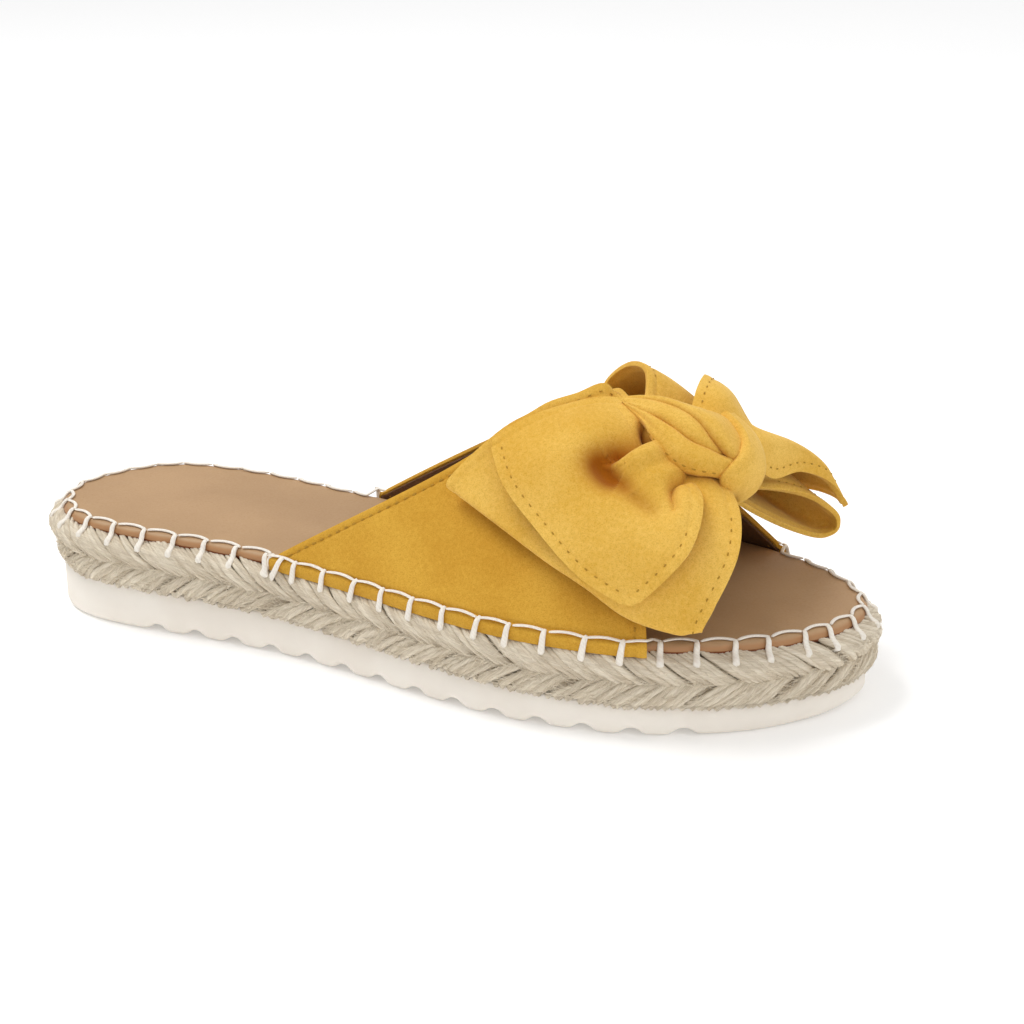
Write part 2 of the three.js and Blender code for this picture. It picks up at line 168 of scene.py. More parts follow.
# Outsole. One moulding of pale foam, cemented under the jute and set in a little from it. Its foot edge is
# rounded, the tread has round grooves straight across, and the heel and toe stay plain.
MM = 0.001
SOLE_HALF = 131.0
FOAM_HEEL, FOAM_TOE = 15.0, 8.0
SOLE_ENDS = ((-SOLE_HALF, -7.0), (SOLE_HALF, 11.0))
SOLE_SIDES = (
    # x, reach of the outer side, reach of the inner side
    (-128.5, 18.5, 3.5),
    (-123.5, 26.5, 13.8),
    (-115.5, 33.0, 23.5),
    (-105.5, 36.4, 29.0),
    (-94.0, 37.4, 31.6),
    (-80.0, 37.2, 32.9),
    (-65.0, 36.4, 32.6),
    (-40.0, 36.8, 30.3),
    (-13.0, 40.8, 32.0),
    (13.0, 46.0, 39.4),
    (39.0, 49.4, 47.0),
    (60.0, 48.4, 50.0),
    (78.0, 44.8, 48.8),
    (95.0, 37.0, 44.8),
    (108.0, 28.4, 39.6),
    (118.0, 18.6, 33.2),
    (126.5, 6.6, 24.0),
)
ENDS_FROM, TOE_SHARE = 99.0, 0.4
FOAM_INSET, FOAM_COLUMNS = 3.4, 620
FOAM_PROFILE = (
    # share of the foam's height and a rise over that, inset beyond FOAM_INSET
    ((0, 0.0), 2.2),
    ((0, 0.25), 1.0),
    ((0, 0.8), 0.35),
    ((0, 1.7), 0.0),
    ((0, 2.8), 0.0),
    ((0, 4.2), 0.0),
    ((1, -0.7), -0.1),
    ((1, 0.0), 0.5),
)
FIRST_GROOVE, GROOVE_PITCH, GROOVE_COUNT = -82, 13.2, 14
GROOVES = [FIRST_GROOVE + GROOVE_PITCH * k for k in range(GROOVE_COUNT)]
GROOVE_DEPTH, GROOVE_HALF, GROOVE_POWER = 1.9, 2.8, 2.8
GROOVE_CUTS = (-5.2, -3.9, -3.0, -2.3, -1.6, -0.8, 0, 0.8, 1.6, 2.3, 3.0, 3.9, 5.2)
TOE_SPRING, TOE_SPRING_FROM, TOE_SPRING_POWER = 1.6, 104.0, 2.2
TOE_CUTS = (107, 111, 115, 119, 123)
TREAD_LOW, TREAD_HIGH, LOOKS_DOWN = 0.5, 4.6, -0.99


def even_steps(count):
    """Even steps from 0 to 1."""
    return np.linspace(0, 1, count)


def unit(vectors):
    return vectors / np.maximum(np.linalg.norm(vectors, axis=-1, keepdims=True), 1e-9)


def smooth_step(value, low, high):
    share = np.clip((np.asarray(value, float) - low) / (high - low), 0, 1)
    return share * share * (3 - 2 * share)


def way_along(points):
    """The way from the first point to each of them."""
    return np.concatenate([[0], np.cumsum(np.linalg.norm(np.diff(points, axis=0), axis=1))])


def curve_through(points, closed=False):
    """A smooth curve through the points, read by the share of its length."""
    steps = 24
    points = np.array(points, float)
    spans = len(points) - (0 if closed else 1)
    before = points[-1:] if closed else 2 * points[:1] - points[1:2]
    after = points[:2] if closed else 2 * points[-1:] - points[-2:-1]
    knots = np.vstack([before, points, after])
    a, b, c, d = (knots[k:k + spans, None] for k in range(4))
    ab, bc, cd = (
        np.maximum(np.sum((q - p) ** 2, -1, keepdims=True) ** 0.25, 1e-4) for p, q in ((a, b), (b, c), (c, d))
    )
    leave = ((b - a) / ab - (c - a) / (ab + bc) + (c - b) / bc) * bc
    arrive = ((c - b) / bc - (d - b) / (bc + cd) + (d - c) / cd) * bc
    t = np.linspace(0, 1, steps, endpoint=False)[None, :, None]
    dense = (2 * t**3 - 3 * t**2 + 1) * b + (t**3 - 2 * t**2 + t) * leave
    dense = dense + (3 * t**2 - 2 * t**3) * c + (t**3 - t**2) * arrive
    dense = np.vstack([dense.reshape(-1, points.shape[1]), points[:1] if closed else points[-1:]])
    length = way_along(dense)

    def at(share):
        return np.stack([np.interp(np.asarray(share) * length[-1], length, axis) for axis in dense.T], -1)

    at.length = length[-1]
    return at


sole_outline = curve_through(
    [SOLE_ENDS[0]]
    + [(x, -outer) for x, outer, inner in SOLE_SIDES]
    + [SOLE_ENDS[1]]
    + [(x, inner) for x, outer, inner in reversed(SOLE_SIDES)],
    closed=True,
)


def sole_edge(share, inset=0.0, end_inset=0.0):
    """The sole's outline moved inward, and further at the heel and toe by end_inset."""
    nudge = 0.0008
    share = np.asarray(share, float) % 1
    place = sole_outline(share)
    ahead = unit(sole_outline((share + nudge) % 1) - sole_outline((share - nudge) % 1))
    inward = np.stack([-ahead[..., 1], ahead[..., 0]], -1)
    x = place[..., 0]
    at_end = smooth_step(np.abs(x), ENDS_FROM, SOLE_HALF) * np.where(x > 0, TOE_SHARE, 1)
    return place + inward * (inset + end_inset * at_end)[..., None]


def foam_top(x):
    return FOAM_HEEL + (FOAM_TOE - FOAM_HEEL) * (x + SOLE_HALF) / (2 * SOLE_HALF)


def set_mode(mode):
    bpy.ops.object.mode_set(mode=mode)


def shaped_grid(name, net, runs=1):
    """A grid moved to the net's places in millimetres, rows by columns, cut into runs of rows."""
    rows, columns = net.shape[:2]
    bpy.ops.object.select_all(action="DESELECT")
    bpy.ops.mesh.primitive_grid_add(x_subdivisions=columns - 1, y_subdivisions=rows - 1, size=1)
    piece = bpy.context.object
    piece.name = piece.data.name = name
    flat = np.empty(rows * columns * 3)
    piece.data.vertices.foreach_get("co", flat)
    flat = flat.reshape(-1, 3)
    column = np.rint((flat[:, 0] + 0.5) * (columns - 1)).astype(int)
    row = np.rint((flat[:, 1] + 0.5) * (rows - 1)).astype(int)
    piece.data.vertices.foreach_set("co", (net[row, column] * MM).ravel())
    piece.data.update()
    if runs > 1:
        run = row // (rows // runs)
        corners = np.empty(len(piece.data.polygons) * 4, int)
        piece.data.polygons.foreach_get("vertices", corners)
        corners = run[corners.reshape(-1, 4)]
        set_mode("EDIT")
        bpy.ops.mesh.select_mode(type="FACE")
        bpy.ops.mesh.select_all(action="DESELECT")
        set_mode("OBJECT")
        piece.data.polygons.foreach_set("select", corners.min(1) != corners.max(1))
        set_mode("EDIT")
        bpy.ops.mesh.delete(type="FACE")
        set_mode("OBJECT")
    return piece


def close_up(piece):
    """Joins the seam, fills the open ends and turns the faces outward."""
    set_mode("EDIT")
    bpy.ops.mesh.select_mode(type="VERT")
    bpy.ops.mesh.select_all(action="SELECT")
    bpy.ops.mesh.remove_doubles(threshold=1e-7)
    bpy.ops.mesh.fill_holes(sides=0)
    bpy.ops.mesh.normals_make_consistent(inside=False)
    set_mode("OBJECT")
    return piece


def ring_net(profile, columns, height):
    """Rings round the sole, one for each row of the profile: its level, inset and end inset."""
    share = even_steps(columns + 1)
    rings = []
    for level, inset, end_inset in profile:
        edge = sole_edge(share, inset, end_inset)
        rings.append(np.column_stack([edge, height(edge[:, 0], level)]))
    return np.array(rings)


def smoothed(piece, angle):
    """Shades the piece smooth where its faces meet at less than the angle."""
    bpy.ops.object.select_all(action="DESELECT")
    piece.select_set(True)
    bpy.context.view_layer.objects.active = piece
    bpy.ops.object.shade_smooth_by_angle(angle=math.radians(angle))


def dress(piece, finish):
    """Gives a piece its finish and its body."""
    piece.data.materials.append(finish)
    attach(piece, "root")


def tread(x):
    """How far the tread is lifted off the ground."""
    grooves = sum(np.exp(-(np.abs((x - g) / GROOVE_HALF) ** GROOVE_POWER)) for g in GROOVES) * GROOVE_DEPTH
    toe = np.clip((x - TOE_SPRING_FROM) / (SOLE_HALF - TOE_SPRING_FROM), 0, 1)
    return grooves + TOE_SPRING * toe**TOE_SPRING_POWER


foam_rings = [(level, FOAM_INSET + inset, 0) for level, inset in FOAM_PROFILE]
foam_net = ring_net(foam_rings, FOAM_COLUMNS, lambda x, level: level[0] * foam_top(x) + level[1])
outsole = close_up(shaped_grid("outsole_foam", foam_net))
set_mode("EDIT")
for cut in sorted([g + d for g in GROOVES for d in GROOVE_CUTS] + list(TOE_CUTS)):
    bpy.ops.mesh.select_all(action="DESELECT")
    set_mode("OBJECT")
    for face in outsole.data.polygons:
        face.select = face.normal.z < LOOKS_DOWN
    set_mode("EDIT")
    bpy.ops.mesh.bisect(plane_co=(cut * MM, 0, 0), plane_no=(1, 0, 0))
set_mode("OBJECT")
for vertex in outsole.data.vertices:
    low = 1 - smooth_step(vertex.co.z / MM, TREAD_LOW, TREAD_HIGH)
    vertex.co.z += float(tread(vertex.co.x / MM) * low) * MM
smoothed(outsole, 50)

foam, shader, place = new_finish("foam", {"Specular IOR Level": 0.25})
cloud = noise(place, 45, 3)
pores = noise(place, 2400, 2)
wear(
    shader,
    colour=mixed(spread(cloud, 0.3, 0.72), (0.88, 0.815, 0.73, 1), (0.93, 0.875, 0.795, 1)),
    roughness=spread(pores, 0.3, 0.7, 0.7, 0.86),
    normal=raised(pores + cloud * 1.5, 0.00005, 0.5),
)
dress(outsole, foam)
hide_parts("outsole")


# Jute. A flat plait of strands, eight yarns each, goes round the sole's edge over a core and is sewn to it.
# Upper and lower strands meet in arrow heads along the middle, and loose fibres stand off the yarns.
JUTE_HEIGHT = 15.0
CORE_COLUMNS = 240
CORE_PROFILE = (
    # share of the jute's height, inset, end inset
    (0.02, 4.6, 1.8),
    (0.1, 2.6, 1.6),
    (0.3, 1.9, 1.3),
    (0.45, 2.3, 1.0),
    (0.6, 2.3, 0.6),
    (0.8, 1.6, 0.2),
    (0.93, 2.3, 0),
    (0.97, 4.4, 0),
)
PLAIT_SECTION = curve_through([
    # inset, height over the foam
    (3.6, 0.2), (2.3, 0.5), (1.7, 1.7), (1.2, 4.0), (1.5, 6.6),
    (0.9, 9.0), (0.3, 11.6), (0.9, 13.5), (2.3, 14.4), (4.4, 14.5),
])
PLAIT_END_INSET = ((0, 1.8), (4, 1.3), (6.75, 1.0), (9, 0.6), (11.7, 0.2), (14, 0), (15, 0))
STRANDS, YARNS = 49, 8
YARN_STEPS, YARN_SIDES = 8, 6
YARN_TAPER = ((0, 0.12, 0.88, 1), (0.7, 1, 1, 0.6))
STRAND_HALF, STRAND_SLIP, YARN_SINK, YARN_JITTER = 0.41, 0.5, 0.9, 0.25
strand_pitch = sole_outline.length / STRANDS
UPPER_ROW = SimpleNamespace(
    start=0.0, reach=15.5, bend=1.08, level=1.0, climb=-0.60, climb_bend=1.0, arch=0.02,
    crown=1.5, drop=0.8, radius=0.84,
    loose_start=1.0, loose_reach=3.0, loose_run=0.0, loose_level=0.008, loose_sway=0.02, loose_lift=0.3,
)
LOWER_ROW = SimpleNamespace(
    start=0.42 * strand_pitch + 1.0, reach=14.5, bend=1.1, level=-0.06, climb=0.57, climb_bend=0.8, arch=0.0,
    crown=1.2, drop=0.4, radius=1.0,
    loose_start=3.0, loose_reach=8.0, loose_run=1.0, loose_level=0.02, loose_sway=0.03, loose_lift=0.7,
)
FIBRES, LOW_FIBRES = 7000, 0.68
FIBRE_RADII, FIBRE_SIDES = (0.095, 0.09, 0.08, 0.06, 0.03), 3
FIBRE_OUTWARD = (0.3, 0.2, 1.0)
LOW_LEVELS, HIGH_LEVELS = (0.02, 0.5), (0.45, 0.95)
FIBRE_TRAVEL, FIBRE_CLIMB, FIBRE_RISE, FIBRE_BOW = (-7, 7), (-0.16, 0.16), (0.3, 1.5), (0.45, 0.9)
FIBRE_LIFT, FIBRE_JITTER = 0.2, 0.12


def jute_top(x):
    return foam_top(x) + JUTE_HEIGHT


core_net = ring_net(CORE_PROFILE, CORE_COLUMNS, lambda x, level: foam_top(x) + JUTE_HEIGHT * level)
jute_core = close_up(shaped_grid("jute_core", core_net))
smoothed(jute_core, 40)


def plait_place(run, level, lift):
    """A place on the plait: run along the edge in millimetres, level up the section, lift off it."""
    section = PLAIT_SECTION(np.clip(level, 0, 1))
    slope = unit(PLAIT_SECTION(np.clip(level + 0.01, 0, 1)) - PLAIT_SECTION(np.clip(level - 0.01, 0, 1)))
    inset = section[..., 0] - slope[..., 1] * lift
    height = section[..., 1] - slope[..., 0] * lift
    ends = np.interp(section[..., 1], *zip(*PLAIT_END_INSET))
    share = np.asarray(run) / sole_outline.length
    flat = sole_edge(share, inset, ends)
    return np.concatenate([flat, (foam_top(flat[..., :1]) + height[..., None])], -1)


def threads(name, paths, outward, radii, sides, flat=1.0):
    """Closed threads in one mesh, each along its path in millimetres, flattened on its outward side."""
    count, steps = paths.shape[:2]
    ahead = unit(np.gradient(paths, axis=1))
    beside = unit(np.cross(ahead, outward))
    above = np.cross(beside, ahead)
    turn = np.linspace(0, 2 * math.pi, sides + 1)[:, None]
    radii = np.broadcast_to(np.asarray(radii, float), (count, steps))[..., None, None]
    ring = flat * np.cos(turn) * above[:, :, None] + np.sin(turn) * beside[:, :, None]
    rings = paths[:, :, None] - radii * ring
    return close_up(shaped_grid(name, rings.reshape(count * steps, sides + 1, 3), count))


chance = np.random.default_rng(11)
along = even_steps(YARN_STEPS)
crest = np.sin(np.clip(along * 1.02, 0, 1) * math.pi) ** 0.6
yarn_paths, yarn_outward, yarn_sizes = [], [], []
for strand in range(STRANDS):
    for row in (UPPER_ROW, LOWER_ROW):
        slip = chance.normal(0, STRAND_SLIP)
        for yarn in range(YARNS):
            spot = 2 * yarn / (YARNS - 1) - 1
            shift, rise, stand, stretch, bow, size = chance.normal(0, YARN_JITTER, 6)
            sway = np.sin(along * math.pi) * bow * 2
            run = (strand + spot * STRAND_HALF) * strand_pitch + row.start + slip
            run = run + (row.reach + row.loose_reach * stretch) * along**row.bend
            run = run + row.loose_start * shift + row.loose_run * sway
            level = row.level + row.climb * along**row.climb_bend + row.arch * np.sin(along * math.pi)
            level = level + row.loose_level * rise + row.loose_sway * sway
            lift = row.crown * crest - YARN_SINK - row.drop * abs(spot) ** 1.8 + row.loose_lift * stand
            place = plait_place(run, level, lift)
            yarn_paths.append(place)
            yarn_outward.append(plait_place(run, level, lift + 1) - place)
            yarn_sizes.append(row.radius * (1 + 0.4 * size))
yarn_radii = np.array(yarn_sizes)[:, None] * np.interp(along, *YARN_TAPER)
plait = threads("jute_plait", np.array(yarn_paths), np.array(yarn_outward), yarn_radii, YARN_SIDES)
smoothed(plait, 70)

run = chance.uniform(0, sole_outline.length, FIBRES)[:, None]
is_low = chance.uniform(0, 1, FIBRES) < LOW_FIBRES
low_level = chance.uniform(*LOW_LEVELS, FIBRES)
high_level = chance.uniform(*HIGH_LEVELS, FIBRES)
level = np.where(is_low, low_level, high_level)[:, None]
along = even_steps(len(FIBRE_RADII))[None]
travel = chance.uniform(*FIBRE_TRAVEL, (FIBRES, 1)) * along
climb = chance.uniform(*FIBRE_CLIMB, (FIBRES, 1)) * along
rise = chance.uniform(*FIBRE_RISE, (FIBRES, 1))
lift = FIBRE_LIFT + rise * np.sin(along * math.pi * chance.uniform(*FIBRE_BOW, (FIBRES, 1)))
fibre_paths = plait_place(run + travel, np.clip(level + climb, 0.02, 0.99), lift)
fibre_paths += chance.normal(0, FIBRE_JITTER, fibre_paths.shape)
fuzz = threads("jute_fuzz", fibre_paths, FIBRE_OUTWARD, FIBRE_RADII, FIBRE_SIDES)

jute, shader, place = new_finish("jute", {"Specular IOR Level": 0.15})
around, length = place.node("ShaderNodeTexCoord", {}, {}, "UV").parts()[:2]
rows_run = length * (len(yarn_paths) * YARN_STEPS - 1.0)
yarn_number = place.math("FLOOR", rows_run / float(YARN_STEPS) + 0.001)
share = (rows_run - yarn_number * float(YARN_STEPS)) / (YARN_STEPS - 1.0)
own_tone = place.node("ShaderNodeTexWhiteNoise", {"noise_dimensions": "1D"}, {"W": yarn_number})
lay = around * 2.0 + share * 2.2
ply = place.math("SINE", lay * (2 * math.pi)) * 0.5 + 0.5
streak_place = place.node("ShaderNodeCombineXYZ", {}, {0: lay * 11.0, 1: share * 2.5, 2: yarn_number * 3.7})
streak = noise(streak_place, 1.0, 3, 0.6)
dust = noise(place, 900, 2)
light = spread(streak, 0.25, 0.75) * 0.6 + own_tone * 0.4 + spread(ply, 0.0, 0.7) * 0.12 - 0.06
wear(
    shader,
    colour=mixed(spread(light, 0.0, 1.0), (0.55, 0.46, 0.34, 1), (0.82, 0.735, 0.595, 1)),
    roughness=spread(dust, 0.3, 0.7, 0.82, 0.95),
    normal=raised(streak + ply * 0.25, 0.0003, 0.8),
)

fibre, shader, place = new_finish("loose_fibre", {"Specular IOR Level": 0.15, "Roughness": 0.9})
wear(shader, mixed(noise(place, 400, 1), (0.62, 0.53, 0.40, 1), (0.86, 0.79, 0.66, 1)))

shade, shader, place = new_finish("jute_in_shade", {"Specular IOR Level": 0.1, "Roughness": 0.95})
wear(shader, mixed(noise(place, 700, 3), (0.44, 0.355, 0.25, 1), (0.64, 0.55, 0.42, 1)))
for piece, finish in ((jute_core, shade), (plait, jute), (fuzz, fibre)):
    dress(piece, finish)
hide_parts("jute_midsole")


# Insole. A board covered with smooth tan leather sheet. The sheet is turned down over the board's edge,
# where the stitches pull it in. Its turned side is painted darker and redder as painted shade, and a dark
# line along its bottom on the jute is partly its cut edge and partly painted shadow under the rim.
STITCHES, FIRST_STITCH = 57, 8.8
stitch_pitch = sole_outline.length / STITCHES
INSOLE_COLUMNS = 12 * STITCHES
INSOLE_PROFILE = (
    # height over the jute, inset, end inset
    (0.05, 4.3, 0.2),
    (0.7, 3.75, 0.3),
    (1.4, 3.55, 0.5),
    (2.2, 3.6, 0.8),
    (2.9, 4.0, 1.1),
    (3.35, 4.7, 1.3),
    (3.5, 5.6, 1.4),
    (3.5, 6.6, 1.4),
)
PULL_DEPTH = 0.32
PULL_SHARES = (0.2, 0.6, 1.0, 1.0, 0.8, 0.4, 0.1, 0)
insole_net = ring_net(INSOLE_PROFILE, INSOLE_COLUMNS, lambda x, level: jute_top(x) + level)
share = even_steps(INSOLE_COLUMNS + 1)
pull = np.cos((share * sole_outline.length - FIRST_STITCH) / stitch_pitch * 2 * math.pi)
pull = PULL_DEPTH * np.clip(pull, -0.3, 1)
inward = unit(sole_edge(share, 2.0) - sole_edge(share))
for ring, pull_share in zip(insole_net, PULL_SHARES):
    ring[:, :2] += inward * (pull_share * pull)[:, None]
insole = close_up(shaped_grid("insole_cover", insole_net))
smoothed(insole, 60)

tan, shader, place = new_finish("tan_leather", {"Specular IOR Level": 0.35})
along_sole, height = place.parts()[::2]
fall = (FOAM_HEEL - FOAM_TOE) / (2 * SOLE_HALF)
over_jute = height * (1 / MM) - jute_top(0.0) + along_sole * (fall / MM)
cloud = noise(place, 26, 4, 0.55)
grain = noise(place, 1500, 3, 0.6)
worn = mixed(spread(cloud, 0.3, 0.7), (0.41, 0.25, 0.126, 1), (0.475, 0.298, 0.157, 1))
specked = mixed(spread(grain, 0.52, 0.8) * 0.25, worn, (0.34, 0.195, 0.095, 1))
# the turned-down side of the sheet is painted darker and redder: painted shade on the rim wall
turned_edge_painted_shade = mixed(spread(over_jute, 3.3, 2.2), specked, (0.42, 0.215, 0.095, 1))
wear(
    shader,
    # a dark line along the bottom of the sheet on the jute: partly its cut edge, partly painted shadow under
    # the rim
    colour=mixed(spread(over_jute, 1.45, 1.0), turned_edge_painted_shade, (0.20, 0.058, 0.020, 1)),
    roughness=spread(grain + cloud * 0.6, 0.5, 1.1, 0.42, 0.6),
    normal=raised(grain, 0.00008, 0.35),
)
dress(insole, tan)
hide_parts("insole")


# Band. One broad piece of mustard suede arched over the instep, lined with brown leather sheet whose dark
# colour is partly painted shade inside the band. Its two open edges are turned and sewn, and its feet stand
# on the jute round the insole's edge.
BAND_INSET, INSOLE_HEIGHT = 1.4, 3.5
BAND_THICKNESS, LINING_THICKNESS, LINING_INSET = 1.1, 0.7, 1.2
CROWN_REAR, CROWN_FRONT = (15, 68), (85, 58)
REAR_EDGE = SimpleNamespace(crown=19, outer=-40, inner=-37, power=2.3)
FRONT_EDGE = SimpleNamespace(crown=74, outer=81, inner=92.5, power=3)
BAND_ROWS, BAND_COLUMNS = 121, 171
FOOT_COLUMNS, FOOT_GAP, FOOT_SMOOTHING = 4, 0.3, 6
SEAM_INSET, SEAM_START, SEAM_END = 3.1, 0.03, 0.97
# height of a roll or furrow, its way from the edge, its width
HEM_ROLL, HEM_FURROW = (0.30, 1.3, 1.0), (-0.38, SEAM_INSET, 0.75)
FOOT_ROLL, FOOT_FURROW = (0.35, 2.4, 1.4), (-0.45, 5.0, 0.9)
RIM_SEGMENTS, RIM_ANGLE, SHEET_ANGLE = 3, 78, 55
BAND_PAINTED_SHADE, BAND_PAINTED_SHADE_MOST = 0.6, 0.25
BAND_STITCH = SimpleNamespace(pitch=2.9, length=1.5, lift=0.36, radii=(0.16, 0.3, 0.32, 0.3, 0.16))
STITCH_SINK, STITCH_SIDES = 0.22, 6
# the suede's colour deep in a fold: painted shade
PAINTED_SHADE_SUEDE = (0.33, 0.092, 0.003, 1)
side_share = np.linspace(0, 0.5, 700)
outer_side = sole_outline(side_share)
inner_side = sole_outline(1 - side_share)


def band_edge(edge, across):
    """How far along x an open edge of the band lies, by the share across."""
    foot = np.where(across < 0, edge.outer, edge.inner)
    return edge.crown + (foot - edge.crown) * np.abs(across) ** edge.power


def band_place(x, across):
    """A place on the arch: -1 and 1 across are its feet, 0 its crown."""
    outer = np.interp(x, outer_side[:, 0], outer_side[:, 1]) + BAND_INSET
    inner = np.interp(x, inner_side[:, 0], inner_side[:, 1]) - BAND_INSET
    slope = (CROWN_FRONT[1] - CROWN_REAR[1]) / (CROWN_FRONT[0] - CROWN_REAR[0])
    crown = CROWN_REAR[1] + (x - CROWN_REAR[0]) * slope
    foot = jute_top(x) + INSOLE_HEIGHT
    y = (outer + inner) / 2 + (inner - outer) / 2 * across
    return np.stack([x, y, foot + (crown - foot) * (1 - np.abs(across) ** 2)], -1)


def net_normals(net):
    return unit(np.cross(np.gradient(net, axis=0), np.gradient(net, axis=1)))


def band_net(edge_inset):
    """The band's outer face, from the outer foot over the crown to the inner foot, rear to front."""
    across = np.sin(np.linspace(-1, 1, BAND_COLUMNS - 2 * FOOT_COLUMNS) * math.pi / 2)
    across = np.concatenate([[-1] * FOOT_COLUMNS, across, [1] * FOOT_COLUMNS])
    share = even_steps(BAND_ROWS)[:, None]
    rear, front = band_edge(REAR_EDGE, across) + edge_inset, band_edge(FRONT_EDGE, across) - edge_inset
    x = rear + (front - rear) * share
    net = band_place(x, np.broadcast_to(across, x.shape))
    for k in range(FOOT_COLUMNS):
        rise = FOOT_GAP + (INSOLE_HEIGHT - FOOT_GAP) * k / FOOT_COLUMNS
        for column in (k, BAND_COLUMNS - 1 - k):
            net[:, column, 2] = jute_top(net[:, column, 0]) + rise
    for repeat in range(FOOT_SMOOTHING):
        net[:, 1:-1] = (net[:, :-2] + 2 * net[:, 1:-1] + net[:, 2:]) / 4
    return net


def edge_distance(net, axis, last):
    """Each point's way to the net's first or last line along an axis, in millimetres."""
    steps = np.linalg.norm(np.diff(net, axis=axis), axis=-1)
    pad = [(0, 0), (0, 0)]
    pad[axis] = (1, 0)
    way = np.pad(np.cumsum(steps, axis), pad)
    return np.take(way, [-1], axis) - way if last else way


def ridge(distance, height, middle, width):
    """A soft ridge, or a furrow, along a line at its distance from an edge."""
    return height * np.exp(-(((distance - middle) / width) ** 2))


def hem(distance):
    """A turned edge: a roll along the edge and the seam's furrow inside it."""
    return ridge(distance, *HEM_ROLL) + ridge(distance, *HEM_FURROW)


def finish_sheet(piece, thickness, rim=0.45):
    """Gives a sheet its thickness and rounds its cut edges."""
    solid = piece.modifiers.new("thickness", "SOLIDIFY")
    solid.thickness, solid.offset = thickness * MM, 0
    solid.use_even_offset = False
    edge = piece.modifiers.new("edge", "BEVEL")
    edge.width, edge.segments, edge.limit_method = rim * MM, RIM_SEGMENTS, "ANGLE"
    edge.angle_limit = math.radians(RIM_ANGLE)
    bpy.context.view_layer.objects.active = piece
    for modifier in ("thickness", "edge"):
        bpy.ops.object.modifier_apply(modifier=modifier)
    smoothed(piece, SHEET_ANGLE)


def fold_shade(piece, net, depth):
    """Stores how deep each point lies in a fold, for the suede's painted shade."""
    spots = KDTree(depth.size)
    for number, spot in enumerate(net.reshape(-1, 3) * MM):
        spots.insert(spot, number)
    spots.balance()
    depth = depth.ravel()
    field = piece.data.attributes.new("fold", "FLOAT", "POINT")
    field.data.foreach_set("value", [depth[spots.find(point.co)[1]] for point in piece.data.vertices])


def suede_finish(name, light, dark):
    """Brushed suede: broad patches where the nap lies over, a fine mottle, and painted shade in folds."""
    finish, shader, place = new_finish(
        name,
        {
            "Specular IOR Level": 0.08,
            "Sheen Weight": 0.24,
            "Sheen Roughness": 0.45,
            "Sheen Tint": (1.0, 0.84, 0.48, 1),
        },
    )
    patch = noise(place, 36, 2, 0.5)
    brush = noise(place, 900, 3, 0.65)
    nap = noise(place, 2800, 2, 0.6)
    fold = place.node("ShaderNodeAttribute", {"attribute_name": "fold"}, {}, 2)
    brushed = mixed(spread(patch * 0.6 + brush * 0.4, 0.28, 0.72), dark, light)
    fleck = (0.72 * dark[0], 0.66 * dark[1], 0.5 * dark[2], 1)
    flecked = mixed(spread(nap, 0.45, 0.72) * 0.45, brushed, fleck)
    wear(
        shader,
        # the fold attribute turns the colour toward painted shade in folds
        colour=mixed(spread(fold, 0.0, 1.0), flecked, PAINTED_SHADE_SUEDE),
        roughness=spread(nap, 0.3, 0.7, 0.86, 0.98),
        normal=raised(nap * 0.7 + brush * 0.5, 0.00022, 0.55),
    )
    return finish


# The band's suede is a darker copy of the ribbon's: partly its pressed nap, partly painted shade.
suede = suede_finish("mustard_suede_pressed_and_shaded", (0.70, 0.40, 0.057, 1), (0.555, 0.278, 0.028, 1))
net = band_net(0.0)
normals = net_normals(net)
from_foot = np.minimum(edge_distance(net, 1, False), edge_distance(net, 1, True))
relief = hem(edge_distance(net, 0, False)) + hem(edge_distance(net, 0, True))
relief = relief + ridge(from_foot, *FOOT_FURROW) + ridge(from_foot, *FOOT_ROLL)
band_face = net + normals * (relief - BAND_THICKNESS / 2)[..., None]
band = shaped_grid("band_suede", band_face)
# painted shade in the band's hem and foot furrows
fold_shade(band, band_face, np.clip(-relief * BAND_PAINTED_SHADE, 0, BAND_PAINTED_SHADE_MOST))
finish_sheet(band, BAND_THICKNESS)
dress(band, suede)
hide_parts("band")

lining_net = band_net(LINING_INSET)
lining_net = lining_net - net_normals(lining_net) * (BAND_THICKNESS + LINING_THICKNESS / 2)
lining = shaped_grid("band_lining", lining_net)
finish_sheet(lining, LINING_THICKNESS, 0.2)
# The lining's dark brown is partly its own colour and partly painted shade inside the band.
brown, shader, place = new_finish("brown_lining_and_painted_shade", {"Specular IOR Level": 0.3})
grain = noise(place, 1300, 3)
wear(
    shader,
    colour=mixed(spread(grain, 0.35, 0.7), (0.115, 0.052, 0.022, 1), (0.19, 0.092, 0.042, 1)),
    roughness=spread(grain, 0.3, 0.7, 0.5, 0.7),
    normal=raised(grain, 0.0001, 0.4),
)
dress(lining, brown)


def on_net(net, row, column):
    """A place on a net by row and column numbers, which may lie between."""
    row, column = np.clip(row, 0, net.shape[0] - 1.001), np.clip(column, 0, net.shape[1] - 1.001)
    top, left = row.astype(int), column.astype(int)
    down, right = (row - top)[:, None], (column - left)[:, None]
    upper = net[top, left] * (1 - right) + net[top, left + 1] * right
    lower = net[top + 1, left] * (1 - right) + net[top + 1, left + 1] * right
    return upper * (1 - down) + lower * down


def seam_line(net, axis, last, inset, first, end):
    """Rows and columns of a line that keeps its inset from one edge of the net."""
    way = edge_distance(net, axis, last)
    way = way if axis == 0 else way.T
    count = way.shape[1]
    cross = np.arange(int(first * (count - 1)), int(end * (count - 1)) + 1)
    steps = np.arange(way.shape[0])
    order = slice(None, None, -1) if last else slice(None)
    at = np.array([np.interp(inset, way[order, k], steps[order]) for k in cross])
    return (at, cross.astype(float)) if axis == 0 else (cross.astype(float), at)


